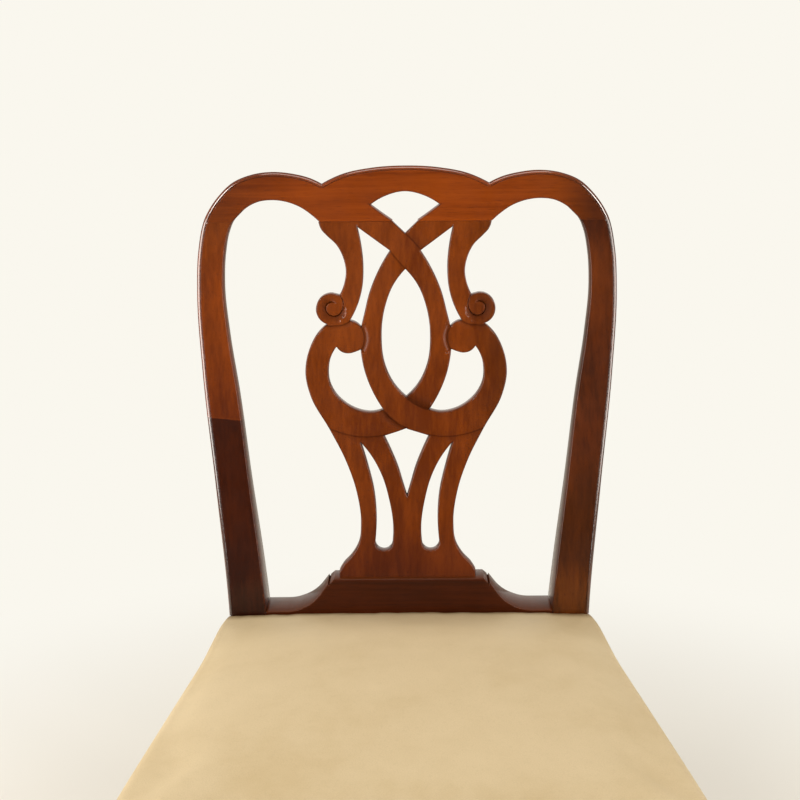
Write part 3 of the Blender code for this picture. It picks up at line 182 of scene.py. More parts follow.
# Curves
def smooth_run(points, start=None, end=None, step=0.0025):
    """A smooth curve through the points."""
    stops = [Vector(p) for p in points]
    gaps = [(b - a).length for a, b in zip(stops, stops[1:])]
    slopes = [(b - a) / g for a, b, g in zip(stops, stops[1:], gaps)]
    inner = [(s0 * g1 + s1 * g0) / (g0 + g1)
             for s0, s1, g0, g1 in zip(slopes, slopes[1:], gaps, gaps[1:])]
    first = Vector(start) if start else 2.0 * slopes[0] - (inner[0] if inner else slopes[0])
    last = Vector(end) if end else 2.0 * slopes[-1] - (inner[-1] if inner else slopes[-1])
    heads = [first, *inner, last]
    run = [stops[0]]
    for a, b, ha, hb, gap in zip(stops, stops[1:], heads, heads[1:], gaps):
        steps = max(2, math.ceil(gap / step))
        for i in range(1, steps + 1):
            t = i / steps
            run.append((2 * t**3 - 3 * t**2 + 1) * a + (t**3 - 2 * t**2 + t) * gap * ha
                       + (3 * t**2 - 2 * t**3) * b + (t**3 - t**2) * gap * hb)
    return [tuple(p) for p in run]


def arc(centre, radius, start, end):
    """Points on an arc from one angle to another."""
    steps = max(4, math.ceil(abs(end - start) / ARC_TURN))
    turn = [math.radians(start + (end - start) * i / steps) for i in range(steps + 1)]
    return [(centre[0] + radius * math.cos(a), centre[1] + radius * math.sin(a)) for a in turn]


def flipped(runs):
    """The same runs on the other side of the middle."""
    return [([(-x, v) for x, v in run], kind) for run, kind in runs]


def whole(half):
    """The runs of a symmetric loop from those of its right half."""
    return half + [(run[::-1], kind) for run, kind in reversed(flipped(half))]


def raised(points, base=SEAT_LINE_Z, stretch=1.0):
    """Points of an outline with their rises turned into heights."""
    return [(x, base + rise * stretch) for x, rise in points]


def rake(rise):
    """Depth of the back's front surface behind the back line."""
    return RAKE_AT_SEAT * rise + (RAKE_AT_TOP - RAKE_AT_SEAT) * rise * rise / (2.0 * CREST_TOP_RISE)


def ease(t):
    """A soft step from 0 to 1."""
    t = np.clip(t, 0.0, 1.0)
    return t * t * (3.0 - 2.0 * t)


# The moulding along the outer edge: a thumb, a sunk line, and painted shade outside the thumb near the top
BEAD_WIDTH = 0.0037
THUMB_FALL = 0.8
QUIRK = 0.24 * BEAD_WIDTH
QUIRK_MIDDLE = BEAD_WIDTH + QUIRK / 2.0
QUIRK_DEPTH = 0.0008
RIM_SHADE = 0.65
RIM_SHADE_RISE = 0.385
# Slopes are averaged along the moulding: how far, how much more across it counts, and the least likeness
LINE_REACH = 0.004
LINE_APART = 40.0
LINE_LIKENESS = 0.94


# Edge profiles: how far the surface falls back at a distance in from the edge
def rolled(distance, radius):
    inside = np.clip(radius - distance, 0.0, radius)
    return radius - np.sqrt(radius * radius - inside * inside)


def rounded(radius):
    return lambda d: rolled(d, radius), [radius * f for f in (0.06, 0.25, 0.6, 1.02)]


def beaded():
    """A thumb moulding that falls away to the edge, then a sunk line, then the flat."""
    def drop(d):
        out = np.clip(1.0 - d / BEAD_WIDTH, 0.0, 1.0)
        thumb = THUMB_FALL * BEAD_WIDTH * (1.0 - np.sqrt(1.0 - out * out))
        return thumb + QUIRK_DEPTH * np.clip(1.0 - np.abs(d - QUIRK_MIDDLE) / (QUIRK / 2.0), 0.0, 1.0)
    stops = [BEAD_WIDTH * f for f in (0.02, 0.08, 0.18, 0.32, 0.5, 0.75, 1.0)]
    return drop, stops + [BEAD_WIDTH + QUIRK * f for f in (0.5, 1.0, 1.5)]


def sloped(depth, reach):
    """A soft chamfer, steepest at the edge."""
    return (lambda d: depth * np.clip(1.0 - d / reach, 0.0, 1.0) ** 1.5,
            [reach * f for f in (0.05, 0.2, 0.4, 0.7, 1.0)])


# Points and triangles
MESH_SCALE = 1000.0
CHUNK = 3000
NEAR_COUNT = 5


def traced(runs, step=0.003):
    """A closed loop of points from its runs, and the kind of edge that leaves each point."""
    points, kinds = [], []
    for run, kind in runs:
        for a, b in zip(run, run[1:]):
            gap = math.dist(a, b)
            if gap < 1e-7:
                continue
            count = max(1, math.ceil(gap / step))
            points += [(a[0] + (b[0] - a[0]) * i / count, a[1] + (b[1] - a[1]) * i / count)
                       for i in range(count)]
            kinds += [kind] * count
    return np.array(points), kinds


def looped(count, base=0):
    """The edges of a closed loop of points."""
    return [(base + i, base + (i + 1) % count) for i in range(count)]


def leftward(ways):
    """Unit vectors to the left of some directions."""
    return np.stack([-ways[:, 1], ways[:, 0]], 1) / np.linalg.norm(ways, axis=1)[:, None]


def planted(spots):
    """A tree that finds the nearest of some spots."""
    tree = KDTree(len(spots))
    for index, spot in enumerate(spots):
        tree.insert(spot, index)
    tree.balance()
    return tree


def nearest(points, starts, ends):
    """Distance from each point to the nearest segment, which segment, and how far along it."""
    tree = planted([(x, z, 0.0) for x, z in (starts + ends) / 2.0])
    few = min(NEAR_COUNT, len(starts))
    near = [[index for _, index, _ in tree.find_n((x, z, 0.0), few)] for x, z in points]
    near = np.array(near, dtype=int).reshape(len(points), few)
    span = ends[near] - starts[near]
    away = points[:, None, :] - starts[near]
    along = np.clip((away * span).sum(2) / (span * span).sum(2), 0.0, 1.0)
    reach = np.linalg.norm(away - along[:, :, None] * span, axis=2)
    pick = reach.argmin(1)
    row = np.arange(len(points))
    return np.stack([reach[row, pick], near[row, pick], along[row, pick]], 1)


def within(points, starts, ends):
    """Which points lie inside the loops."""
    rise = ends[:, 1] - starts[:, 1]
    rise = np.where(rise == 0.0, 1e-12, rise)
    answers = []
    for low in range(0, len(points), CHUNK):
        x = points[low:low + CHUNK, 0, None]
        z = points[low:low + CHUNK, 1, None]
        crosses = (starts[:, 1] > z) != (ends[:, 1] > z)
        at = starts[:, 0] + (z - starts[:, 1]) * (ends[:, 0] - starts[:, 0]) / rise
        answers.append((crosses & (x < at)).sum(1) % 2 == 1)
    return np.concatenate(answers)


def spaced(groups, cell=0.0004):
    """All points of the groups that keep each group's gap to the points before them."""
    kept, grid = [], {}
    for points, gap in groups:
        reach = int(math.ceil(gap / cell))
        around = range(-reach, reach + 1)
        for x, z in points:
            i, j = int(x // cell), int(z // cell)
            near = (grid.get((i + a, j + b)) for a in around for b in around)
            if all(n is None or (n[0] - x) ** 2 + (n[1] - z) ** 2 >= gap * gap for n in near):
                grid[(i, j)] = (x, z)
                kept.append((x, z))
    return kept


def meshed(flat, edges, starts, ends):
    """Points and triangles inside the loops, and the input points that each point stands for."""
    coords = [Vector(p) * MESH_SCALE for p in flat]
    places, _, tris, origins, _, _ = delaunay_2d_cdt(coords, edges, [], 0, 1e-5)
    flat = np.array([tuple(p) for p in places]) / MESH_SCALE
    tris = np.array([tuple(t) for t in tris])
    return flat, tris[within(flat[tris].mean(1), starts, ends)], origins


def beside(line, offsets, step=0.0011):
    """Points in rows along a line of points, at signed distances from it."""
    run = np.array(smooth_run(line, step=step))
    left = leftward(np.gradient(run, axis=0))
    return np.concatenate([run + left * o for o in offsets])


def evened(points, ways, inset):
    """Average the slopes along each line of the moulding."""
    rows = np.where((inset < BEAD_WIDTH * 1.001) & (np.abs(ways).sum(1) > 0.0))[0]
    spots = [(*points[row], inset[row] * LINE_APART) for row in rows]
    tree = planted(spots)
    calm = ways.copy()
    for row, spot in zip(rows, spots):
        near = ways[rows[[index for _, index, _ in tree.find_range(spot, LINE_REACH)]]]
        mean = near[near @ ways[row] > LINE_LIKENESS].sum(0)
        calm[row] = mean / np.linalg.norm(mean)
    return calm


def drafted(name, points, faces):
    """A mesh of points and faces, and a bmesh to work on it."""
    mesh = bpy.data.meshes.new(name)
    mesh.from_pydata([tuple(p) for p in points], [], faces)
    bm = bmesh.new()
    bm.from_mesh(mesh)
    return mesh, bm


def finished(name, bm, mesh, angle):
    """Write the mesh, shade it smooth up to an angle, and place it on the chair."""
    bm.to_mesh(mesh)
    bm.free()
    mesh.shade_smooth()
    mesh.set_sharp_from_angle(angle=math.radians(angle))
    made = bpy.data.objects.new(name, mesh)
    bpy.context.scene.collection.objects.link(made)
    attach(made, "root")
    return made


# Carved boards: the most between the points of a ring and of a spot, and the least to the outline
RING_GAP = 0.0009
SPOT_GAP = 0.00028
EDGE_CLEAR = 4e-5
RING_TRUE = 3e-5
PROBE = 2e-5
# Rings that only the back needs start this far past the front's
BACK_RING = 0.0005
# Where edge wear and painted edge tone end, how deep carving is painted in full shade, how far the walls'
# gloss reaches round the back
WEAR_AND_PAINTED_EDGE_REACH = 0.003
SHADE_DEPTH = 0.0028
WALL_REACH = 0.002
BOARD_ANGLE = 38.0


def board(name, loops, front, back, fronts, backs, relief=None, spots=(), grid=0.006, line_shade=None,
          wall=WALL_SHINE):
    """A carved board: loops in front view, front and back depths, and edge profiles for each kind of edge."""
    traces = [traced(runs) for runs in loops]
    starts = np.concatenate([points for points, _ in traces])
    ends = np.concatenate([np.roll(points, -1, axis=0) for points, _ in traces])
    kinds = np.array(sum((kinds for _, kinds in traces), []))
    worked = kinds != JOINT
    inward = leftward(ends - starts)
    inward[~within((starts + ends) / 2.0 + inward * PROBE, starts, ends)] *= -1.0

    groups = []
    lines = {kind: list(stops) for kind, (drop, stops) in fronts.items()}
    for kind, (drop, stops, *_) in backs.items():
        lines[kind] += [stop for stop in stops if stop > lines[kind][-1] + BACK_RING]
    for kind, stops in lines.items():
        mine = kinds == kind
        if mine.any():
            a, b = starts[mine], ends[mine]
            middle = np.concatenate([a * 0.75 + b * 0.25, a * 0.25 + b * 0.75])
            normal = np.concatenate([inward[mine], inward[mine]])
            for stop, before, after in zip(stops, [0.0, *stops], [*stops[1:], math.inf]):
                ring = middle + normal * stop
                true = nearest(ring, starts[worked], ends[worked])[:, 0] > stop - RING_TRUE
                groups.append((ring[true], min(RING_GAP, 0.7 * (stop - before), 0.7 * (after - stop))))
    groups += [(spot, SPOT_GAP) for spot in spots]
    low, high = starts.min(0), starts.max(0)
    across, up = np.meshgrid(np.arange(low[0], high[0], grid), np.arange(low[1], high[1], grid))
    across = across + (np.arange(across.shape[0]) % 2)[:, None] * grid / 2.0
    groups.append((np.stack([across.ravel(), up.ravel()], 1), grid * 0.55))
    groups = [(points[within(points, starts, ends)], gap) for points, gap in groups]
    groups = [(points[nearest(points, starts, ends)[:, 0] > EDGE_CLEAR], gap)
              for points, gap in groups if len(points)]
    edges = []
    for points, _ in traces:
        edges += looped(len(points), len(edges))
    flat, tris, origins = meshed([tuple(p) for p in starts] + spaced(groups), edges, starts, ends)
    at_input = {source: index for index, sources in enumerate(origins) for source in sources}
    count = len(flat)
    edge_gap = nearest(flat, starts[worked], ends[worked])[:, 0]

    def fall(profiles, points):
        total = np.zeros(len(points))
        for kind, (drop, _, *share) in profiles.items():
            mine = kinds == kind
            if mine.any():
                depth = drop(nearest(points, starts[mine], ends[mine])[:, 0])
                total = np.maximum(total, depth * share[0](points) if share else depth)
        return total

    def face(points):
        """Depth of the carved front behind the back line."""
        carved = relief(points) if relief else 0.0
        return front(points[:, 1] - SEAT_LINE_Z) + fall(fronts, points) + carved

    def rear(points):
        return back(points[:, 1] - SEAT_LINE_Z) - fall(backs, points)

    def facing(surface, way):
        """Direction of a surface at every point, none at the very edge."""
        across, up = (surface(flat + step) - surface(flat - step)
                      for step in np.array([(SLOPE_STEP, 0.0), (0.0, SLOPE_STEP)]))
        ways = np.stack([across, np.full(count, -2.0 * SLOPE_STEP), up], 1) * way
        ways /= np.linalg.norm(ways, axis=1)[:, None]
        ways[edge_gap < 2.0 * SLOPE_STEP] = 0.0
        return ways

    front_ways = facing(face, 1.0)
    # Painted shade: the deeper the carving the darker, and so the sunk line, the moulding's outer edge near
    # the top and the marked lines; it also dulls the gloss
    shade_share = np.clip(relief(flat) / SHADE_DEPTH, 0.0, 1.0) if relief else np.zeros(count)
    shine = np.full(count, FLAT_SHINE)
    bead = kinds == BEAD
    if bead.any():
        inset = nearest(flat, starts[bead], ends[bead])[:, 0]
        sunk = np.clip(1.3 - np.abs(inset - QUIRK_MIDDLE) / QUIRK * 2.0, 0.0, 1.0)
        high = ease((flat[:, 1] - SEAT_LINE_Z - RIM_SHADE_RISE) / 0.05)
        rim = RIM_SHADE * high * (1.0 - ease((inset - 0.0003) / 0.0009))
        shade_share = np.maximum.reduce([shade_share, sunk, rim])
        shine = np.where(inset < BEAD_WIDTH, ease((inset - 0.0002) / 0.0008), shine)
        front_ways = evened(flat, front_ways, inset)
    if line_shade:
        shade_share = np.maximum(shade_share, line_shade(flat))
    shine *= 1.0 - 0.95 * ease(shade_share / 0.5)
    back_shine = BACK_SHINE + (wall - BACK_SHINE) * (1.0 - ease(edge_gap / WALL_REACH))
    ways = np.concatenate([front_ways, facing(rear, -1.0)])
    shines = np.concatenate([shine, back_shine])
    verts = np.concatenate([np.stack([flat[:, 0], depth + BACK_LINE_Y, flat[:, 1]], 1)
                            for depth in (face(flat), rear(flat))])
    faces = [tuple(t) for t in tris] + [tuple(t[::-1] + count) for t in tris]
    for a, b in edges:
        a, b = at_input[a], at_input[b]
        faces.append((a, a + count, b + count, b))
    mesh, bm = drafted(name, verts, faces)
    loose = [v for v in bm.verts if not v.link_faces]
    # The painted shade, and the nearness to an edge for wear and painted edge tone, go to the material
    wear_and_painted_edge, painted_shade, gloss = (bm.verts.layers.float.new(key) for key in ("wear_and_painted_edge", "painted_shade", "gloss"))
    way = bm.verts.layers.float_vector.new("way")
    for vert in bm.verts:
        index = vert.index % count
        vert[wear_and_painted_edge] = float(1.0 - ease(edge_gap[index] / WEAR_AND_PAINTED_EDGE_REACH))
        vert[painted_shade] = float(shade_share[index]) if vert.index < count else 0.0
        vert[way] = Vector(ways[vert.index])
        vert[gloss] = float(shines[vert.index])
    bmesh.ops.delete(bm, geom=loose, context="VERTS")
    bmesh.ops.recalc_face_normals(bm, faces=bm.faces[:])
    return trued(finished(name, bm, mesh, BOARD_ANGLE))


def trued(piece):
    """Shade front and back by the slopes of the carving, not by the facets."""
    mesh = piece.data
    ways = [tuple(item.vector) for item in mesh.attributes["way"].data]
    normals = [(0.0, 0.0, 0.0)] * len(mesh.loops)
    for face in mesh.polygons:
        if abs(face.normal.y) > 0.1 and len(face.vertices) == 3:
            for loop in face.loop_indices:
                normals[loop] = ways[mesh.loops[loop].vertex_index]
    mesh.attributes.remove(mesh.attributes["way"])
    mesh.normals_split_custom_set(normals)
    return piece


def slid(piece, reach=None):
    """Move a piece sideways to the back's own middle, all of it or less and less out to a reach."""
    for vert in piece.data.vertices:
        share = 1.0 - float(ease(abs(vert.co.x) / reach)) if reach else 1.0
        vert.co.x += CENTRE_SHIFT * share


# The pieces of the back
SOFT_EDGE = rounded(0.0015)
BACK_EDGE = rounded(0.0022)


def post_runs(side):
    low = [(POST_FOOT_OUTER, FOOT_Z), (POST_RAIL_OUTER, RAIL_BOTTOM)]
    outer = smooth_run(low + raised(POST_OUTER), end=JOINT_RUN_OUTER, step=0.004)
    split = min(range(len(outer)), key=lambda i: abs(outer[i][1] - SEAT_LINE_Z))
    inner = smooth_run(raised(POST_INNER), end=JOINT_RUN_INNER, step=0.004)[::-1]
    top = (outer[-1][0], SEAT_LINE_Z + POST_TOP_RISE)
    leg = [inner[-1], (inner[-1][0], RAIL_BOTTOM), (POST_FOOT_INNER, FOOT_Z), outer[0]]
    runs = [(outer[:split + 1], ARRIS), (outer[split:], BEAD), ([top, inner[0]], JOINT), (inner, ARRIS),
            (leg, ARRIS)]
    return runs if side > 0 else flipped(runs)


def post_front(rise):
    drop = np.clip((RAIL_BOTTOM - SEAT_LINE_Z - rise) / RAIL_BOTTOM, 0.0, 1.0)
    return np.where(rise > 0.0, rake(rise), REAR_LEG_SPLAY * drop**1.7)


def post_back(rise):
    drop = np.clip((RAIL_BOTTOM - SEAT_LINE_Z - rise) / RAIL_BOTTOM, 0.0, 1.0)
    left = np.clip(1.0 - rise / JOINT_RISE, 0.0, 1.0)
    stile = POST_DEPTH_AT_TOP + (POST_DEPTH_AT_SEAT - POST_DEPTH_AT_TOP) * left**2.5
    leg = POST_DEPTH_AT_SEAT + (REAR_FOOT_DEPTH - POST_DEPTH_AT_SEAT) * drop
    return post_front(rise) + np.where(rise > 0.0, stile, leg)


POST_FRONTS = {ARRIS: SOFT_EDGE, BEAD: beaded()}
POST_BACKS = {ARRIS: BACK_EDGE, BEAD: BACK_EDGE}
POSTS = {side: board(f"post_{label}", [post_runs(side)], post_front, post_back, POST_FRONTS, POST_BACKS)
         for side, label in ((-1, "left"), (1, "right"))}

CREST_BASE = SEAT_LINE_Z + JOINT_RISE + JOINT_GAP
CREST_SLOPE_RUN = 0.042


def crest_runs():
    top = smooth_run(CREST_ARCH, start=(1.0, 0.0))
    shoulder = smooth_run(CREST_SHOULDER[::-1], start=JOINT_RUN_OUTER)[::-1]
    eye = smooth_run(CREST_EYE, start=JOINT_RUN_INNER)
    fan_side = smooth_run(CREST_FAN_SIDE)
    fan_top = smooth_run(CREST_FAN_TOP, end=(-1.0, 0.0))
    half = [(top, BEAD), (shoulder, BEAD), ([shoulder[-1], eye[0]], JOINT), (eye, ARRIS),
            ([eye[-1], fan_side[0]], JOINT), (fan_side, ARRIS), (fan_top, ARRIS)]
    stretch = (CREST_HEIGHT - JOINT_GAP) / CREST_HEIGHT
    return whole([(raised(run, CREST_BASE, stretch), kind) for run, kind in half])


def crest_slope_share(points):
    """The chamfer behind the crest runs out into the posts' small rounding at the joint."""
    return 0.15 + 0.85 * ease((points[:, 1] - CREST_BASE) / CREST_SLOPE_RUN)


CREST_CHAMFER = (*sloped(0.0150, 0.0100), crest_slope_share)
CREST = board("crest", [crest_runs()], rake, lambda r: rake(r) + CREST_THICKNESS, POST_FRONTS,
              {ARRIS: BACK_EDGE, BEAD: CREST_CHAMFER}, grid=0.004, wall=CREST_WALL_SHINE)

SPLAT_Z = SEAT_LINE_Z + SPLAT_BASE


def cut(*lines):
    """Runs with plain arrises through some points."""
    return [(smooth_run(line), ARRIS) for line in lines]


def splat_loops():
    foot, neck = smooth_run(SPLAT_FOOT), smooth_run(SPLAT_NECK)
    disc = [foot[-1], *arc(VOLUTE_CENTRE, VOLUTE_RADIUS, VOLUTE_START, VOLUTE_END), SPLAT_NECK[0]]
    corner, fan_end = (SPLAT_FOOT_HALF, 0.0), (SPLAT_FAN_HALF, DRAWN_SPLAT_HEIGHT)
    outer = [([(0.0, 0.0), corner], JOINT), ([corner, foot[0]], ARRIS), (foot, ARRIS), (disc, ARRIS),
             (neck, ARRIS), ([neck[-1], fan_end], JOINT), ([fan_end, (0.0, SPLAT_FAN_POINT)], ARRIS)]
    blade = cut(BLADE_INNER, BLADE_DISC, BLADE_OUTER) + [([BLADE_OUTER[-1], BLADE_INNER[0]], ARRIS)]
    heart = cut(HEART_DISC, HEART_INNER, HEART_OUTER)
    slot_end = (arc(SLOT_END_CENTRE, SLOT_END_RADIUS, 0.0, -180.0), ARRIS)
    slot = [*cut(SLOT_OUTER), slot_end, *cut(SLOT_INNER)]
    loops = [whole(outer), whole(cut(LENS_SIDE)), whole(cut(LOWER_FAN_TOP, LOWER_FAN_SIDE))]
    for hole in (blade, heart, slot):
        loops += [hole, flipped(hole)]
    stretch = (JOINT_RISE - SPLAT_BASE) / DRAWN_SPLAT_HEIGHT
    return [[(raised(run, SPLAT_Z, stretch), kind) for run, kind in loop] for loop in loops]


def splat_steps():
    """Every place where a strap passes under another, on both sides of the middle."""
    steps = list(MIDDLE_STEPS)
    for line, side, *size in SIDE_STEPS:
        steps += [(line, side, *size), ([(-x, h) for x, h in line], -side, *size)]
    return [(raised(line, SPLAT_Z), *rest) for line, *rest in steps]


STEPS = splat_steps()
STEP_ROWS = (-0.0012, -0.0006, -0.00025, 0.0, 0.00025, 0.0006, 0.0012, 0.0022, 0.0036, 0.0055, 0.008)
SPIRAL_TURN, SPIRAL_REACH = zip(*VOLUTE_SPIRAL)
SPIRAL_ROWS = (-0.0034, -0.002, -0.001, -0.0006, -0.0003, 0.0, 0.0003, 0.0006, 0.0011, 0.002, 0.0035, 0.005,
               0.007)
EYE_DOME = 0.0004


def step_dip(points, line, side, depth, reach):
    """How deep a strap lies where another passes over it."""
    run = np.array(smooth_run(line, step=0.001))
    starts, ends = run[:-1], run[1:]
    gap, pick, along = nearest(points, starts, ends).T
    pick = pick.astype(int)
    ahead = ends[pick] - starts[pick]
    away = points - starts[pick]
    left = np.sign(ahead[:, 0] * away[:, 1] - ahead[:, 1] * away[:, 0]) * side
    past_end = ((pick == 0) & (along <= 0.0)) | ((pick == len(starts) - 1) & (along >= 1.0))
    edge = ease((gap * left + 0.0002) / 0.0004)
    return np.where(past_end, 0.0, depth * edge * (1.0 - ease(gap / reach)))


def volute_place(points, side):
    """Turn round the volute's eye, distance past the spiral, and distance from the disc's middle."""
    x, h = points[:, 0] * side, points[:, 1] - SPLAT_Z
    out, up = x - VOLUTE_EYE[0], h - VOLUTE_EYE[1]
    turn = np.degrees(np.arctan2(up, out)) % 360.0
    turn = np.where(turn < SPIRAL_TURN[0], turn + 360.0, turn)
    past = np.hypot(out, up) - np.interp(turn, SPIRAL_TURN, SPIRAL_REACH)
    return turn, past, np.hypot(x - VOLUTE_CENTRE[0], h - VOLUTE_CENTRE[1])


def volute_dip(points, side):
    """A groove along the spiral; outside it the band slopes up from the groove to the rim."""
    turn, past, reach = volute_place(points, side)
    left = SPIRAL_TURN[-1] - turn
    ends = ease(left / 40.0)
    groove = GROOVE_DEPTH * np.clip(1.0 - np.abs(past) / GROOVE_HALF, 0.0, 1.0) * ends
    band = np.clip(1.0 - past / VOLUTE_SLOPE, 0.0, 1.0) * (past > 0.0)
    slope = VOLUTE_SLOPE_DEPTH * band * ease(left / 80.0) * ease((turn - 150.0) / 60.0)
    rim = ease((VOLUTE_RADIUS - reach) / 0.0015)
    dome = EYE_DOME * ease((past + 0.0035) / 0.0035) * (past < 0.0) * ends
    return np.where(reach < VOLUTE_RADIUS + 0.004, groove + (slope + dome) * rim, 0.0)


# These marks are painted shade in the spiral grooves and along the strap steps
def carved_lines(points):
    """1 in the bottom of a spiral groove or along a strap's step, 0 on the flat."""
    marks = []
    for line, *_ in STEPS:
        run = np.array(smooth_run(line, step=0.001))
        gap = nearest(points, run[:-1], run[1:])[:, 0]
        marks.append(STEP_SHADE * (1.0 - ease((gap - 0.0003) / 0.0012)))
    for side in (-1, 1):
        turn, past, reach = volute_place(points, side)
        groove = np.clip(1.3 - np.abs(past) / GROOVE_HALF, 0.0, 1.0) * ease((SPIRAL_TURN[-1] - turn) / 40.0)
        marks.append(groove * (reach < 0.020))
    return np.maximum.reduce(marks)


def splat_relief(points):
    dips = [step_dip(points, *step) for step in STEPS]
    dips += [volute_dip(points, side) for side in (-1, 1)]
    return np.maximum.reduce(dips)


def splat_spots():
    """Points along the steps and the spirals, to carry their form."""
    spots = [beside(line, [o * side for o in STEP_ROWS]) for line, side, *_ in STEPS]
    turns = np.radians(np.arange(SPIRAL_TURN[0], SPIRAL_TURN[-1], 4.0))
    for side in (-1, 1):
        for past in SPIRAL_ROWS:
            reach = np.interp(np.degrees(turns), SPIRAL_TURN, SPIRAL_REACH) + past
            spots.append(np.stack([side * (VOLUTE_EYE[0] + reach * np.cos(turns)),
                                   SPLAT_Z + VOLUTE_EYE[1] + reach * np.sin(turns)], 1))
    return spots


SPLAT = board("splat_carved", splat_loops(), rake, lambda r: rake(r) + SPLAT_THICKNESS,
              {ARRIS: rounded(0.0014)}, {ARRIS: BACK_EDGE}, splat_relief, splat_spots(), grid=0.005,
              line_shade=carved_lines)


def shoe_runs():
    corner, wing = (SHOE_BLOCK_HALF, SHOE_RISE), (SHOE_END, SHOE_WING_RISE)
    floor = RAIL_TOP + JOINT_GAP - SEAT_LINE_Z
    cavetto = smooth_run(SHOE_CAVETTO, end=(1.0, 0.0))
    half = [([(0.0, SHOE_RISE), corner], NOSING), ([corner, SHOE_CHAMFER, SHOE_QUIRK, cavetto[0]], ARRIS),
            (cavetto, ARRIS), ([cavetto[-1], wing], ARRIS),
            ([wing, (SHOE_END, floor), (0.0, floor)], JOINT)]
    return whole([(raised(run), kind) for run, kind in half])


def shoe_back(rise):
    up = np.clip(rise / SHOE_RISE, 0.0, 1.0)
    return SHOE_DEPTH + (SHOE_TOP_DEPTH - SHOE_DEPTH) * up


SHOE = board("shoe", [shoe_runs()], lambda r: 0.0 * r, shoe_back,
             {ARRIS: rounded(0.0007), NOSING: rounded(0.0028)}, {ARRIS: SOFT_EDGE, NOSING: SOFT_EDGE})

slid(SPLAT)
slid(CREST, 0.2)
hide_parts("rear_post_left")
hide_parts("rear_post_right")
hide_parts("crest_rail")
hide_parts("splat")
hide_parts("splat_shoe")


# Materials
class Graph:
    """Builds a node tree; every socket takes another socket or a value."""

    def __init__(self, owner):
        owner.use_nodes = True
        self.tree = owner.node_tree

    def feed(self, socket, source):
        if isinstance(source, bpy.types.NodeSocket):
            self.tree.links.new(source, socket)
        else:
            socket.default_value = (*source, 1.0) if socket.type == "RGBA" else source

    def node(self, kind, out, inputs=None, **settings):
        made = self.tree.nodes.new(f"ShaderNode{kind}")
        for key, value in settings.items():
            setattr(made, key, value)
        for key, source in (inputs or {}).items():
            self.feed(made.inputs[key], source)
        return made.outputs[out]

    def close(self, kind, shader):
        self.feed(self.tree.nodes.new(f"ShaderNode{kind}").inputs["Surface"], shader)

    def mapped(self, vector, scale, turn=(0.0, 0.0, 0.0)):
        return self.node("Mapping", "Vector", {"Vector": vector, "Rotation": turn, "Scale": scale})

    def noise(self, vector, scale, detail=3.0, rough=0.55, twist=0.0):
        return self.node("TexNoise", "Fac", {"Vector": vector, "Scale": scale, "Detail": detail,
                                             "Roughness": rough, "Distortion": twist})

    def cells(self, vector, scale, feature="F1"):
        return self.node("TexVoronoi", "Distance", {"Vector": vector, "Scale": scale}, feature=feature)

    def ramp(self, source, stops):
        node = self.tree.nodes.new("ShaderNodeValToRGB")
        bar = node.color_ramp.elements
        while len(bar) < len(stops):
            bar.new(0.5)
        for element, (place, colour) in zip(bar, stops):
            element.position = place
            element.color = (*colour, 1.0)
        self.feed(node.inputs["Fac"], source)
        return node.outputs["Color"]

    def span(self, source, low, high, to_low=0.0, to_high=1.0, **settings):
        return self.node("MapRange", "Result", {"Value": source, "From Min": low, "From Max": high,
                                                "To Min": to_low, "To Max": to_high}, **settings)

    def math(self, operation, a, b=0.0):
        return self.node("Math", "Value", {0: a, 1: b}, operation=operation)

    def times(self, a, b):
        return self.math("MULTIPLY", a, b)

    def mix(self, factor, a, b, blend="MIX"):
        """Sockets 6 and 7 are a Mix node's colours, and output 2 is their mix."""
        return self.node("Mix", 2, {0: factor, 6: a, 7: b}, data_type="RGBA", blend_type=blend)

    def tint(self, colour, by):
        return self.mix(1.0, colour, by, "MULTIPLY")

    def value(self, attribute):
        return self.node("Attribute", "Fac", attribute_name=attribute)

    def bump(self, height, distance, strength=1.0, under=None):
        inputs = {"Strength": strength, "Distance": distance, "Height": height}
        if under is not None:
            inputs["Normal"] = under
        return self.node("Bump", "Normal", inputs)


class Look(Graph):
    """A material on a Principled shader."""

    def __init__(self, name):
        self.made = bpy.data.materials.new(name)
        super().__init__(self.made)
        self.coords = self.node("TexCoord", "Object")

    def set(self, **sources):
        shader = self.tree.nodes["Principled BSDF"]
        for key, source in sources.items():
            self.feed(shader.inputs[key.replace("_", " ")], source)
        return self.made


GRAIN_TURN = {"X": (0.0, math.radians(90.0), 0.0), "Y": (math.radians(90.0), 0.0, 0.0), "Z": (0.0, 0.0, 0.0)}
# A wave texture of scale 1 repeats at this length
WAVE_LENGTH = 0.314


def grained(look, axis):
    """A maker of noise drawn out along an axis, from cells per metre across and along it."""
    along = look.mapped(look.coords, (1.0, 1.0, 1.0), GRAIN_TURN[axis])

    def noise(across, lengthwise, detail, rough=0.5, twist=0.0):
        return look.noise(look.mapped(along, (across, across, lengthwise)), 1.0, detail, rough, twist)
    return noise


def tinted(colour, *factors):
    """A colour times one factor, or times one for each channel."""
    return tuple(c * f for c, f in zip(colour, factors * 3))


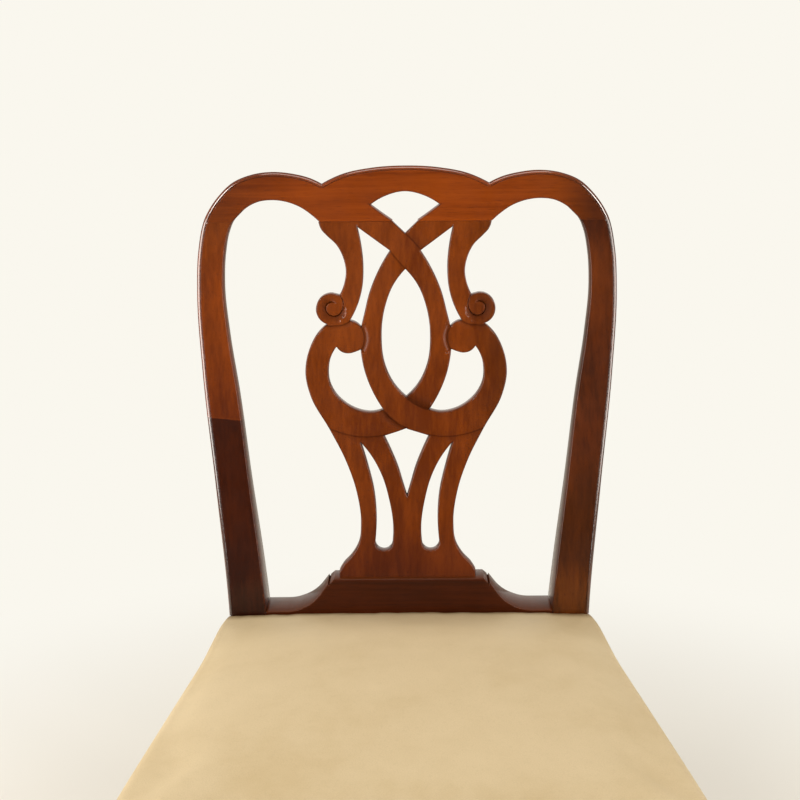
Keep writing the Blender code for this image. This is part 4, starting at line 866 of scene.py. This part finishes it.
def mahogany(name, axis, dark, light, fades=(), tone_step=None, coat=1.0, edge=None, even=None):
    """Polished mahogany with the grain along an axis.

    Each fade gives a direction, the place where its tint is full, the place where it ends, and the tint. A
    fade along Z counts from the seat line. A fade along X counts from the middle to both sides, unless a last
    value says that it has one side. A tone step gives the rise, slope and tint of a darker tone below a
    sloping line, with a faint lighter line along it. An edge gives how far the arrises take on another tone
    as painted light; without one they darken as painted shade. Even gives one gloss for a piece without
    carved edges.
    """
    look = Look(name)
    grain = grained(look, axis)
    figure = grain(34.0, 3.0, 5.0, 0.6, 0.8)
    cloud = grain(12.0, 7.0, 2.0)
    streak = grain(230.0, 6.0, 3.0, 0.6)
    tone = look.math("ADD", look.times(figure, 0.55), look.times(cloud, 0.45))
    tone = look.math("ADD", tone, look.span(streak, 0.3, 0.7, -0.08, 0.08))
    middle = tuple((d + l) / 2.0 for d, l in zip(dark, light))
    colour = look.ramp(tone, [(0.36, dark), (0.50, middle), (0.66, light)])
    pores = look.span(grain(1500.0, 60.0, 2.0), 0.60, 0.70)
    colour = look.mix(look.times(pores, 0.40), colour, tinted(dark, 0.35))
    places = {way: look.node("SeparateXYZ", way, {"Vector": look.coords}) for way in "XZ"}
    for way, full, none, tint, *one_sided in fades:
        place = places[way]
        if way == "Z":
            full, none = SEAT_LINE_Z + full, SEAT_LINE_Z + none
        elif not one_sided:
            place = look.math("ABSOLUTE", place)
        wander = 0.15 * abs(full - none)
        place = look.math("ADD", place, look.span(cloud, 0.3, 0.7, -wander, wander))
        colour = look.mix(look.span(place, none, full), colour, look.tint(colour, tint))
    # Darker below a sloping line, with a faint lighter line along it
    if tone_step:
        rise, slope, tint = tone_step
        at = SEAT_LINE_Z + rise
        height = look.math("ADD", places["Z"], look.times(places["X"], slope))
        colour = look.mix(look.span(height, at + 0.0006, at - 0.0006), colour, look.tint(colour, tint))
        step_line = look.math("ABSOLUTE", look.math("SUBTRACT", height, at + 0.001))
        colour = look.mix(look.span(step_line, 0.0, 0.0009, 0.15, 0.0), colour, tinted(light, 1.3))
    wear_and_painted_edge = look.value("wear_and_painted_edge")
    patches = look.span(look.noise(look.coords, 160.0), 0.45, 0.75)
    # Near the edge the arrises darken as painted shade, or take the edge tone given as painted light
    share, tone = edge or (0.55, tinted(dark, 0.45))
    colour = look.mix(look.times(look.math("POWER", wear_and_painted_edge, 2.5), share), colour, tone)
    # Rubbed wear: lighter patches along the arrises
    colour = look.mix(look.times(look.times(wear_and_painted_edge, patches), 0.22), colour, tinted(light, 1.4))
    # Painted shade in the carving, its grooves and steps, and at the moulding's outer edge
    colour = look.mix(look.times(look.value("painted_shade"), 0.75), colour, tinted(dark, 0.25))
    skin = look.bump(pores, -0.00006)
    return look.set(
        Base_Color=colour, Roughness=look.span(look.noise(look.coords, 45.0), 0.3, 0.7, 0.32, 0.48),
        Normal=look.bump(grain(60.0, 14.0, 2.0, 0.55), 0.00025, 0.5, skin),
        Coat_Weight=look.times(look.value("gloss"), coat) if even is None else even,
        Coat_Roughness=0.10, Coat_IOR=1.9, Specular_IOR_Level=0.05)


def leather(name, base):
    """Smooth cream hide: fine pebbled grain, soft mottling, a low sheen."""
    look = Look(name)
    cloud = look.noise(look.coords, 7.0)
    patch = look.noise(look.coords, 38.0, 4.0, 0.6)
    tone = look.math("ADD", look.times(cloud, 0.65), look.times(patch, 0.35))
    warm, pale = tinted(base, 0.90, 0.87, 0.80), tinted(base, 1.06, 1.07, 1.10)
    colour = look.ramp(tone, [(0.32, warm), (0.52, base), (0.70, pale)])
    pit = look.span(look.cells(look.coords, 420.0, "DISTANCE_TO_EDGE"), 0.0, 0.10, 1.0, 0.0)
    colour = look.mix(look.times(pit, 0.14), colour, tinted(base, 0.55))
    # Painted shade along the seat's back edge, under the chair's back, broken up by a mottle
    stain = look.span(look.noise(look.coords, 55.0, 4.0), 0.25, 0.75, 0.6, 1.0)
    back_shade = look.times(look.times(look.value("back_shade"), stain), 0.80)
    colour = look.mix(back_shade, colour, tinted(base, 0.33, 0.275, 0.215))
    grain = look.bump(look.cells(look.coords, 850.0), 0.00012, 0.5)
    grain = look.bump(pit, -0.00010, 0.6, grain)
    return look.set(Base_Color=colour, Roughness=look.span(patch, 0.3, 0.7, 0.50, 0.64),
                    Normal=look.bump(look.noise(look.coords, 95.0), 0.0004, 0.35, grain),
                    Specular_IOR_Level=0.25)


def bare_wood(name, dark, light, axis):
    look = Look(name)
    grain = grained(look, axis)(60.0, 4.0, 4.0, 0.6, 0.4)
    return look.set(Base_Color=look.ramp(grain, [(0.3, dark), (0.7, light)]),
                    Roughness=look.span(grain, 0.3, 0.7, 0.55, 0.72), Normal=look.bump(grain, 0.0002, 0.4))


def cloth(name, dark, light, pitch):
    """Plain woven cloth, threads at a pitch along X and Y."""
    look = Look(name)
    thread = {"Vector": look.coords, "Scale": WAVE_LENGTH / pitch, "Distortion": 0.6}
    weave = look.math("MAXIMUM", *(look.node("TexWave", "Fac", thread, bands_direction=way) for way in "XY"))
    tone = look.math("ADD", look.times(weave, 0.7), look.times(look.noise(look.coords, 60.0), 0.3))
    return look.set(Base_Color=look.ramp(tone, [(0.25, dark), (0.8, light)]),
                    Normal=look.bump(weave, 0.0003, 0.6), Roughness=0.85, Specular_IOR_Level=0.2)


def steel(name, dark, light):
    look = Look(name)
    scuff = look.noise(look.coords, 900.0, 4.0, 0.65)
    stain = look.noise(look.coords, 120.0)
    return look.set(Base_Color=look.ramp(stain, [(0.35, dark), (0.65, light)]),
                    Roughness=look.span(scuff, 0.3, 0.7, 0.28, 0.5), Normal=look.bump(scuff, 0.00004, 0.4),
                    Metallic=1.0)


def dressed(piece, look):
    """Give a piece its look."""
    piece.data.materials.clear()
    piece.data.materials.append(look)


# Dark and light tone of each piece of the back, and the fades of its tone
CREST_WOOD = ((0.178, 0.0290, 0.0016), (0.350, 0.0650, 0.0048))
CREST_FADES = [("X", 0.205, 0.120, (0.68, 0.74, 0.90)), ("X", 0.212, 0.172, (0.46, 0.46, 0.55), True)]
SPLAT_WOOD = ((0.146, 0.0262, 0.0018), (0.278, 0.0560, 0.0045))
SPLAT_FADES = [("Z", 0.045, 0.125, (0.64, 0.54, 0.45)), ("X", 0.105, 0.060, (0.70, 0.76, 0.95), True)]
LEFT_WOOD = ((0.150, 0.0262, 0.0016), (0.300, 0.0580, 0.0046))
# The last fade darkens the foot of the post above the seat: painted shade and grime
LEFT_FADES = [("Z", 0.215, 0.320, (0.72, 0.64, 0.50)), ("Z", 0.440, 0.380, (0.78, 0.84, 0.95)),
              ("Z", 0.000, 0.055, (0.50, 0.42, 0.35))]
LEFT_TONE_STEP = (0.204, 0.10, (0.33, 0.31, 0.40))
RIGHT_WOOD = ((0.056, 0.0115, 0.0018), (0.140, 0.0280, 0.0040))
# The fourth fade lightens the upper post below the crest: a painted reflection
RIGHT_FADES = [("Z", 0.130, 0.200, (0.75, 0.85, 0.75)), ("Z", 0.040, 0.062, (1.70, 1.76, 1.20)),
               ("Z", -0.050, -0.010, (0.40, 0.30, 0.40)), ("Z", 0.380, 0.300, (1.25, 1.28, 1.10)),
               ("Z", 0.436, 0.404, (0.50, 0.46, 0.48))]
SHOE_WOOD = ((0.038, 0.0068, 0.0012), (0.088, 0.0150, 0.0022))
# The shoe's arrises turn lighter: a painted highlight along the nosing and edges
SHOE_EDGE_HIGHLIGHT = (0.60, (0.115, 0.0290, 0.0058))
dressed(CREST, mahogany("mahogany_crest", "X", *CREST_WOOD, CREST_FADES))
dressed(SPLAT, mahogany("mahogany_splat", "Z", *SPLAT_WOOD, SPLAT_FADES))
dressed(POSTS[-1], mahogany("mahogany_post_left", "Z", *LEFT_WOOD, LEFT_FADES, LEFT_TONE_STEP))
dressed(POSTS[1], mahogany("mahogany_post_right", "Z", *RIGHT_WOOD, RIGHT_FADES))
dressed(SHOE, mahogany("mahogany_shoe", "X", *SHOE_WOOD, coat=0.6, edge=SHOE_EDGE_HIGHLIGHT))

# The solids that stay: the grain of the mahogany ones, the looks of all, and the ease of their arrises
PLAIN = {
    "front_leg_left": "Z", "front_leg_right": "Z", "rear_seat_rail": "X", "side_stretcher_left": "Y",
    "side_stretcher_right": "Y", "cross_stretcher": "X", "rear_stretcher": "X",
}
FRAME_WOOD = ((0.040, 0.0100, 0.0026), (0.130, 0.0270, 0.0045))
LOWER_WOOD = {axis: mahogany(f"mahogany_frame_{axis.lower()}", axis, *FRAME_WOOD, even=FLAT_SHINE)
              for axis in "XYZ"}
BEECH_WOOD = ((0.36, 0.23, 0.12), (0.56, 0.40, 0.24))
BEECH = {axis: bare_wood(f"beech_{axis.lower()}", *BEECH_WOOD, axis) for axis in "XY"}
STEEL = steel("bright_steel", (0.30, 0.27, 0.24), (0.56, 0.55, 0.53))
INNER = {
    "webbing": cloth("jute_webbing", (0.22, 0.15, 0.08), (0.46, 0.34, 0.20), 0.0022),
    "hessian": cloth("hessian", (0.26, 0.19, 0.11), (0.50, 0.38, 0.23), 0.0018),
    "dust_cover": cloth("black_cambric", (0.008, 0.008, 0.009), (0.035, 0.034, 0.034), 0.0009),
}
CREAM = leather("cream_leather", (0.632, 0.502, 0.306))
PLAIN_EASE = 0.0013
BEECH_EASE = 0.0008


def softened(node, width):
    """Ease the arrises of a plain CAD solid."""
    weld = node.modifiers.new("weld", "WELD")
    weld.merge_threshold = 0.00005
    flat = node.modifiers.new("flat", "DECIMATE")
    flat.decimate_type = "DISSOLVE"
    flat.angle_limit = math.radians(1.0)
    edge = node.modifiers.new("arris", "BEVEL")
    edge.width = width
    edge.segments = 3
    edge.limit_method = "ANGLE"
    edge.angle_limit = math.radians(30.0)
    edge.harden_normals = True


for name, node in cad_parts.items():
    if name in PLAIN:
        dressed(node, LOWER_WOOD[PLAIN[name]])
        softened(node, PLAIN_EASE)
    elif "seat_rail" in name or "corner_block" in name:
        dressed(node, BEECH["Y" if "side" in name else "X"])
        softened(node, BEECH_EASE)
    elif "screw" in name or "glide" in name:
        dressed(node, STEEL)
    else:
        for key, look in INNER.items():
            if key in name:
                dressed(node, look)

# Seat
SEAT_DEPTH = 0.440
SEAT_REAR_HALF = 0.2074
SEAT_FLARE = (0.265 - SEAT_REAR_HALF) / SEAT_DEPTH
SEAT_ROLL = 0.0045
SEAT_FRONT = SEAT_DEPTH + SEAT_ROLL
SEAT_EDGE = 0.016
SEAT_REAR_EDGE = 0.0022
SEAT_CROWN = 0.017
CORNER_PULL_X = 0.011
CORNER_PULL_Y = 0.009
COVER = 0.0018
PAD_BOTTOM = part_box("seat_hessian")[1][2] + JOINT_GAP
HEM_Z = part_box("seat_cover")[0][2] + 0.0002
HEM_WIDTH = 0.016
LINING = 0.0035
# Rings of the leather below its top: height, inset from the rails, and how far the ring is on their line
SEAT_RINGS = [
    (SEAT_LINE_Z - 0.020, 0.0, 0.06), (SEAT_LINE_Z - 0.026, 0.0, 0.30), (SEAT_LINE_Z - 0.033, 0.0, 0.75),
    (PAD_BOTTOM - 0.006, 0.0, 1.0), (RAIL_BOTTOM + 0.020, 0.0, 1.0), (RAIL_BOTTOM + 0.003, 0.0, 1.0),
    (HEM_Z + 0.0005, 0.0003, 1.0), (HEM_Z, 0.0018, 1.0), (HEM_Z, HEM_WIDTH, 1.0),
    (HEM_Z + COVER, HEM_WIDTH, 1.0), (HEM_Z + COVER, LINING, 1.0), (PAD_BOTTOM, LINING, 1.0),
]
# Painted shade along the back edge, under the chair's back: share and reach
BACK_SHADE = ((1.35, 0.017), (0.36, 0.110))
SEAT_ANGLE = 60.0


def rail_half(y):
    """Half the width of the rails at a depth from the back line."""
    return SEAT_REAR_HALF - SEAT_FLARE * y


def bulge(y):
    return SEAT_ROLL * np.sqrt(np.clip(-y / 0.03, 0.0, 1.0))


def seat_top(x, y):
    """Height of the leather: flat along the back, crowned in the middle, rolled over at the edges."""
    half = rail_half(y) + bulge(y)
    u = np.clip(np.abs(x) / half, 0.0, 1.0)
    back = np.clip(-y / SEAT_DEPTH, 0.0, 1.0)
    along = 0.1 + 0.9 * np.sin(math.pi * back**0.8)
    long_pucker = 0.0005 * np.sin(x * 95.0) * np.sin(x * 41.0 + 0.6)
    fine_pucker = 0.0003 * np.sin(x * 330.0) * np.sin(x * 127.0)
    pucker = (long_pucker + fine_pucker) * (1.0 - ease(-y / 0.03))
    crown = SEAT_LINE_Z + pucker - 0.0008 * u**4 + SEAT_CROWN * (1.0 - u**2.4) * along
    slim = SEAT_EDGE * (0.12 + 0.88 * ease(-y / 0.13))
    side = rolled(half - np.abs(x), slim)
    face = rolled(y + SEAT_DEPTH + SEAT_ROLL, SEAT_EDGE)
    tuck = rolled(-JOINT_GAP - y, SEAT_REAR_EDGE)
    return crown - np.minimum(np.minimum(np.hypot(side, face), SEAT_EDGE) + tuck, SEAT_EDGE)


def stops_between(low, high, edge, count):
    """Places from low to high, close together near both ends."""
    near = [0.0, 0.06, 0.16, 0.32, 0.48, 0.56, 0.585, 0.61, 0.635, 0.68, 0.8]
    middle = np.linspace(low + edge, high - edge, count)
    return np.concatenate([[low + edge * n for n in near], middle, [high - edge * n for n in reversed(near)]])


def drawn(co, z, inset):
    """The place of a point on the rail line, below the roll."""
    y = co.y - BACK_LINE_Y
    half = rail_half(y)
    squeeze = half / (half + float(bulge(np.array(y))))
    front = max(0.0, -y / SEAT_DEPTH)
    return Vector((co.x * squeeze * ((half - inset) / half),
                   BACK_LINE_Y + y * (SEAT_DEPTH / SEAT_FRONT) + inset * min(1.0, front**8), z))


def make_seat():
    """The stuffed pad with the leather carried down over the rails and turned under them."""
    rows = stops_between(-JOINT_GAP, -SEAT_DEPTH - SEAT_ROLL, -SEAT_EDGE, 40)
    share = stops_between(-1.0, 1.0, SEAT_EDGE / SEAT_REAR_HALF, 44)
    bm = bmesh.new()
    back_shade = bm.verts.layers.float.new("back_shade")
    grid = []
    for y in rows:
        half = rail_half(y) + float(bulge(np.array(y)))
        row = []
        for s in share:
            x = s * half
            corner = (abs(s) * max(0.0, -y / SEAT_FRONT)) ** 9.0
            z = float(seat_top(np.array(x), np.array(y)))
            x, y_drawn = x * (1.0 - CORNER_PULL_X * corner), y * (1.0 - CORNER_PULL_Y * corner)
            row.append(bm.verts.new((x, BACK_LINE_Y + y_drawn, z)))
        grid.append(row)
    for a, b in zip(grid, grid[1:]):
        for i in range(len(share) - 1):
            bm.faces.new((a[i], a[i + 1], b[i + 1], b[i]))

    last = len(share) - 1
    rim = ([(v, True) for v in grid[0][1:last]] + [(row[last], False) for row in grid]
           + [(v, False) for v in reversed(grid[-1][1:last])] + [(row[0], False) for row in reversed(grid)])

    def wall(co, at_back, z, inset, share):
        if at_back:
            return Vector((co.x, co.y, max(z, PAD_BOTTOM)))
        return Vector((co.x, co.y, z)).lerp(drawn(co, z, inset), share)

    rings = [[v for v, _ in rim]]
    for ring in SEAT_RINGS:
        rings.append([bm.verts.new(wall(v.co, at_back, *ring)) for v, at_back in rim])
    for a, b in zip(rings, rings[1:]):
        for i, j in looped(len(rim)):
            bm.faces.new((a[i], a[j], b[j], b[i]))
    bm.faces.new(rings[-1])
    bmesh.ops.remove_doubles(bm, verts=bm.verts[:], dist=0.00003)
    bmesh.ops.dissolve_degenerate(bm, edges=bm.edges[:], dist=0.00002)
    # Painted shade near the back edge, where the chair's back shades the leather
    for vert in bm.verts:
        y = vert.co.y - BACK_LINE_Y
        vert[back_shade] = sum(share * (1.0 - float(ease(-y / reach))) for share, reach in BACK_SHADE)
    bmesh.ops.recalc_face_normals(bm, faces=bm.faces[:])
    return finished("seat_leather", bm, bpy.data.meshes.new("seat_leather"), SEAT_ANGLE)


# The swelling: cell, pressure, stiffness, steps and cap, where the leather is held, and where it is free
SWELL_CELL = 0.006
SWELL_PRESSURE = 4.0
SWELL_STIFFNESS = 2.0
SWELL_FRAMES = 20
SWELL_CAP = 0.006
SWELL_FLOOR = PAD_BOTTOM + 0.002
SWELL_BACK = 0.008
SWELL_FULL = 0.110
SWELL_CORNER = 0.060


def swollen(piece):
    """Let the stuffing press the leather out where no rail or shoe holds it.

    A copy in even cells swells as cloth under pressure; the piece takes on its movement, up to a cap.
    """
    scene = bpy.context.scene

    def evaluated(piece):
        return bpy.data.meshes.new_from_object(piece.evaluated_get(bpy.context.evaluated_depsgraph_get()))

    cells = piece.modifiers.new("cells", "REMESH")
    cells.mode = "VOXEL"
    cells.voxel_size = SWELL_CELL
    mesh = evaluated(piece)
    piece.modifiers.remove(cells)
    blown = bpy.data.objects.new("blown", mesh)
    scene.collection.objects.link(blown)
    rest = [v.co.copy() for v in mesh.vertices]
    held = [i for i, co in enumerate(rest) if co.z < SWELL_FLOOR or co.y > BACK_LINE_Y - SWELL_BACK]
    blown.vertex_groups.new(name="held").add(held, 1.0, "REPLACE")
    cloth = blown.modifiers.new("cloth", "CLOTH")
    cloth.settings.vertex_group_mass = "held"
    cloth.settings.use_pressure = True
    cloth.settings.uniform_pressure_force = SWELL_PRESSURE
    cloth.settings.bending_stiffness = SWELL_STIFFNESS
    cloth.settings.effector_weights.gravity = 0.0
    cloth.collision_settings.use_collision = False
    for frame_number in range(1, SWELL_FRAMES + 1):
        scene.frame_set(frame_number)
    done = evaluated(blown)
    tree = planted(rest)
    moves = [v.co - co for v, co in zip(done.vertices, rest)]
    lifts = []
    for vert in piece.data.vertices:
        near = [(1.0 / (gap + 0.001), index) for _, index, gap in tree.find_n(vert.co, 6)]
        move = sum((moves[index] * weight for weight, index in near), Vector())
        move = move / sum(weight for weight, _ in near)
        y = vert.co.y - BACK_LINE_Y
        corner = math.hypot(rail_half(y) + SEAT_ROLL - abs(vert.co.x), y + SEAT_DEPTH + SEAT_ROLL)
        share = float(ease((-y - SWELL_BACK) / SWELL_FULL) * ease(corner / SWELL_CORNER))
        outward = max(0.0, move.dot(vert.normal))
        if vert.co.z > SWELL_FLOOR:
            lifts.append((vert, vert.normal * SWELL_CAP * math.tanh(outward / SWELL_CAP) * share))
    for vert, lift in lifts:
        vert.co += lift
    bpy.data.objects.remove(blown)
    bpy.data.meshes.remove(mesh)
    bpy.data.meshes.remove(done)
    scene.frame_set(1)


PLEAT = 0.0014
PLEAT_INSET = 0.0120
PLEAT_EDGE = 0.0010


def pleated(piece):
    """Double the leather at the front corners, where it is folded under and drawn down."""
    for vert in piece.data.vertices:
        y = vert.co.y - BACK_LINE_Y
        inset = rail_half(y) + SEAT_ROLL - abs(vert.co.x)
        fold = 1.0 - float(ease((inset - PLEAT_INSET) / PLEAT_EDGE))
        down = float(ease((SEAT_LINE_Z - 0.008 - vert.co.z) / 0.014))
        front = float(ease((-y - SEAT_DEPTH + 0.006) / 0.004))
        vert.co.y -= PLEAT * fold * down * front


SEAT = make_seat()
swollen(SEAT)
pleated(SEAT)
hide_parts("seat_cover", "seat_wadding", "seat_stuffing")
dressed(SEAT, CREAM)

# Dust cover: cambric drawn over the underside of the rails, its edge turned in and tacked
# The rails' outer line lies in from the leather, and the cover in from that line and from the back line
RAIL_INSET = 0.0022
SHEET_INSET = 0.006
SHEET_BACK = -0.0006
LEG_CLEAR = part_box("front_leg_right")[0][0] - 0.001
NOTCH_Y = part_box("front_leg_right")[1][1] - BACK_LINE_Y + 0.001
DUST_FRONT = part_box("dust_cover")[0][1] - BACK_LINE_Y
DUST_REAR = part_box("dust_cover")[1][1] - BACK_LINE_Y
DUST_TUCK = SHOE_END - 0.002
DUST_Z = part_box("dust_cover")[0][2]
DUST_SAG = 0.005
DUST_CELL = 0.0065
TURN_IN = 0.011
TACK_PITCH = 0.042
TACK_RADIUS = 0.0033
TACK_INSET = 0.0055
TACK_SIDES = 12
# Rings of a tack's dome: share of its radius, and depth
TACK_DOME = ((1.0, -0.0002), (1.0, 0.0004), (0.8, 0.0009), (0.4, 0.0012))
TACK_ANGLE = 50.0


def dust_loop():
    side = SEAT_REAR_HALF - RAIL_INSET - SHEET_INSET
    half = [(0.0, DUST_FRONT), (LEG_CLEAR, DUST_FRONT), (LEG_CLEAR, NOTCH_Y),
            (side - SEAT_FLARE * NOTCH_Y, NOTCH_Y), (side, SHEET_BACK), (DUST_TUCK, SHEET_BACK),
            (DUST_TUCK, DUST_REAR), (0.0, DUST_REAR)]
    return whole([(half, ARRIS)])


def dust_height(points, starts, ends):
    """Drawn flat at the edge, with a slack belly and shallow puckers between the tacks."""
    gap = nearest(points, starts, ends)[:, 0]
    belly = DUST_SAG * ease(gap / 0.16) ** 0.8
    waves = np.sin(points * 2.0 * math.pi / TACK_PITCH).prod(1)
    pucker = 0.0009 * waves * ease(gap / 0.008) * (1.0 - ease(gap / 0.05))
    hem = 0.0005 * (1.0 - ease((gap - TURN_IN) / 0.0008))
    return DUST_Z - belly - pucker - hem


def make_dust_cover():
    outline, _ = traced(dust_loop(), 0.006)
    starts, ends = outline, np.roll(outline, -1, axis=0)
    low, high = outline.min(0), outline.max(0)
    across, along = np.meshgrid(*(np.arange(a, b, DUST_CELL) for a, b in zip(low, high)))
    grid = np.stack([across.ravel(), along.ravel()], 1)
    normal = leftward(ends - starts)
    rings = np.concatenate([(starts + ends) / 2.0 + normal * side * (TURN_IN + o)
                            for o in (-0.0005, 0.0014) for side in (-1, 1)])
    rings = rings[nearest(rings, starts, ends)[:, 0] > TURN_IN - 0.001]
    rings, grid = (points[within(points, starts, ends)] for points in (rings, grid))
    grid = grid[nearest(grid, starts, ends)[:, 0] > 0.002]
    flat = [tuple(p) for p in outline] + spaced([(rings, 0.002), (grid, 0.003)])
    flat, tris, _ = meshed(flat, looped(len(outline)), starts, ends)
    height = dust_height(flat, starts, ends)
    name = "cambric_dust_cover"
    mesh, bm = drafted(name, [(x, BACK_LINE_Y + y, z) for (x, y), z in zip(flat, height)],
                       [tuple(t[::-1]) for t in tris])
    area = sum(f.calc_area() for f in bm.faces)
    cover = finished(name, bm, mesh, SEAT_ANGLE)
    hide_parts("dust_cover")
    return cover, starts, ends


def make_tacks(starts, ends):
    """Domed tack heads along the turned-in edge."""
    bm = bmesh.new()
    turns = [2.0 * math.pi * i / TACK_SIDES for i in range(TACK_SIDES)]
    walked = TACK_PITCH / 2.0
    for a, b in zip(starts, ends):
        gap = float(np.linalg.norm(b - a))
        walked += gap
        if walked < TACK_PITCH:
            continue
        walked -= TACK_PITCH
        ahead = (b - a) / gap
        for side in (-1.0, 1.0):
            spot = (a + b) / 2.0 + np.array([-ahead[1], ahead[0]]) * side * TACK_INSET
            if not within(spot[None], starts, ends)[0]:
                continue
            x, y, z = spot[0], BACK_LINE_Y + spot[1], float(dust_height(spot[None], starts, ends)[0])
            rows = []
            for share, depth in TACK_DOME:
                r = TACK_RADIUS * share
                ring = [(x + r * math.cos(t), y + r * math.sin(t), z - depth) for t in turns]
                rows.append([bm.verts.new(place) for place in ring])
            for low, high in zip(rows, rows[1:]):
                for i, j in looped(TACK_SIDES):
                    bm.faces.new((low[i], low[j], high[j], high[i]))
            bm.faces.new(rows[0])
            bm.faces.new(rows[-1])
    bmesh.ops.recalc_face_normals(bm, faces=bm.faces[:])
    return finished("dust_cover_tacks", bm, bpy.data.meshes.new("dust_cover_tacks"), TACK_ANGLE)


DUST_COVER, *DUST_EDGE = make_dust_cover()
dressed(DUST_COVER, INNER["dust_cover"])
dressed(make_tacks(*DUST_EDGE), steel("blued_steel", (0.02, 0.021, 0.024), (0.09, 0.09, 0.10)))

# Stage, light and camera
BACKGROUND = (0.955, 0.930, 0.855)
FLOOR = (0.80, 0.77, 0.71)
FLOOR_Z = -0.0004
PALE_LIGHT = (0.60, 0.57, 0.51)
DIM_LIGHT = [(0.42, (0.020, 0.018, 0.016)), (0.72, (0.20, 0.185, 0.16))]


def make_floor():
    """A pale floor with the chair's shadow, which meets the background further out; clear from below."""
    bm = bmesh.new()
    bmesh.ops.create_circle(bm, cap_ends=True, segments=96, radius=14.0)
    mesh = bpy.data.meshes.new("floor")
    bm.to_mesh(mesh)
    bm.free()
    floor = bpy.data.objects.new("floor", mesh)
    floor.location.z = FLOOR_Z
    bpy.context.scene.collection.objects.link(floor)
    look = bpy.data.materials.new("pale_floor")
    graph = Graph(look)
    graph.tree.nodes.clear()
    coords = graph.node("TexCoord", "Object")
    reach = graph.node("VectorMath", "Value", {0: coords}, operation="LENGTH")
    far = graph.span(reach, 0.55, 1.5, interpolation_type="SMOOTHSTEP")
    matt = graph.node("BsdfDiffuse", "BSDF", {"Color": FLOOR})
    glow = graph.node("Emission", "Emission", {"Color": BACKGROUND})
    shown = graph.times(far, graph.node("LightPath", "Is Camera Ray"))
    top = graph.node("MixShader", "Shader", {0: shown, 1: matt, 2: glow})
    below = graph.node("NewGeometry", "Backfacing")
    clear = graph.node("BsdfTransparent", "BSDF")
    graph.close("OutputMaterial", graph.node("MixShader", "Shader", {0: below, 1: top, 2: clear}))
    mesh.materials.append(look)


def make_world():
    """Pale behind the chair and dimmer in front of it, as the polish mirrors it."""
    world = bpy.data.worlds.new("studio")
    bpy.context.scene.world = world
    graph = Graph(world)
    graph.tree.nodes.clear()
    place = graph.node("TexCoord", "Generated")
    depth = graph.node("SeparateXYZ", "Y", {"Vector": place})
    behind = graph.span(depth, -0.45, 0.35, interpolation_type="SMOOTHSTEP")
    dim = graph.ramp(graph.noise(place, 7.0, 1.0, 0.5), DIM_LIGHT)
    lit = graph.node("Background", "Background", {"Color": graph.mix(behind, dim, PALE_LIGHT)})
    seen = graph.node("Background", "Background", {"Color": BACKGROUND})
    straight, mirrored, through = (graph.node("LightPath", f"Is {kind} Ray")
                                   for kind in ("Camera", "Glossy", "Transmission"))
    shown = graph.math("MAXIMUM", graph.math("MAXIMUM", straight, through), graph.times(mirrored, behind))
    graph.close("OutputWorld", graph.node("MixShader", "Shader", {0: shown, 1: lit, 2: seen}))


POLISHED = bpy.data.collections.new("polished")
for piece in (*POSTS.values(), CREST, SPLAT, SHOE, *(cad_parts[name] for name in PLAIN)):
    POLISHED.objects.link(piece)

WARM = (1.0, 0.96, 0.90)
AIM = (0.0, BACK_LINE_Y, 0.65)
CARD_AIM = (0.0, 0.2, 0.9)
CARD_SIZE = (1.9, 1.5)
SOFTBOX_SIZE = (0.9, 0.7)
PANEL_SIZE = (1.3, 1.6)


def add_light(name, spot, aim, size, power, card=False, shines=True):
    """An area lamp; a card shows in the polish of the wood alone and adds no light of its own."""
    lamp = bpy.data.lights.new(name, "AREA")
    lamp.shape = "RECTANGLE"
    lamp.size, lamp.size_y = size
    lamp.energy = power
    lamp.color = WARM
    holder = bpy.data.objects.new(name, lamp)
    holder.location = spot
    holder.rotation_euler = (Vector(aim) - Vector(spot)).to_track_quat("-Z", "Y").to_euler()
    holder.visible_camera = False
    holder.visible_diffuse = not card
    holder.visible_glossy = shines
    if card:
        holder.light_linking.receiver_collection = POLISHED
    bpy.context.scene.collection.objects.link(holder)


make_floor()
make_world()
add_light("softbox_left", (-1.7, -2.1, 2.7), AIM, SOFTBOX_SIZE, 42.0)
add_light("softbox_right", (1.9, -1.9, 2.6), AIM, SOFTBOX_SIZE, 36.0)
add_light("overhead", (0.0, -0.5, 3.0), (0.0, 0.0, 0.4), (1.2, 0.9), 9.0)
for label, side, power, shine in (("left", -1.0, 42.0, 40.0), ("right", 1.0, 20.0, 55.0)):
    add_light(f"panel_{label}", (2.3 * side, 0.25, 1.1), AIM, PANEL_SIZE, power, shines=False)
    add_light(f"shine_{label}", (2.3 * side, 0.25, 1.1), AIM, PANEL_SIZE, shine, card=True)
for label, side, power in (("left", -1.0, 62.0), ("right", 1.0, 48.0)):
    add_light(f"card_{label}", (1.69 * side, -1.21, 1.15), CARD_AIM, CARD_SIZE, power, card=True)

# The camera's place from the seat's back edge, and its turns, as solved from the outline of the back
FOCAL_PX = 1303.0
PHOTO_PX = 800.0
CAMERA_AWAY = 1.400
CAMERA_RISE = 0.615
CAMERA_PAN = math.atan(7.8 / FOCAL_PX)
CAMERA_TILT = math.radians(90.0 - 14.4)
CAMERA_ROLL = math.radians(-0.5)
camera = bpy.data.cameras.new("camera")
camera.sensor_width = 36.0
camera.lens = FOCAL_PX / PHOTO_PX * camera.sensor_width
holder = bpy.data.objects.new("camera", camera)
bpy.context.scene.collection.objects.link(holder)
turn = (Matrix.Rotation(CAMERA_PAN, 4, "Z") @ Matrix.Rotation(CAMERA_TILT, 4, "X")
        @ Matrix.Rotation(CAMERA_ROLL, 4, "Z"))
place = Matrix.Translation((0.0, BACK_LINE_Y - CAMERA_AWAY, SEAT_LINE_Z + CAMERA_RISE))
holder.matrix_world = place @ turn
bpy.context.scene.camera = holder
bpy.context.scene.view_settings.view_transform = "Standard"
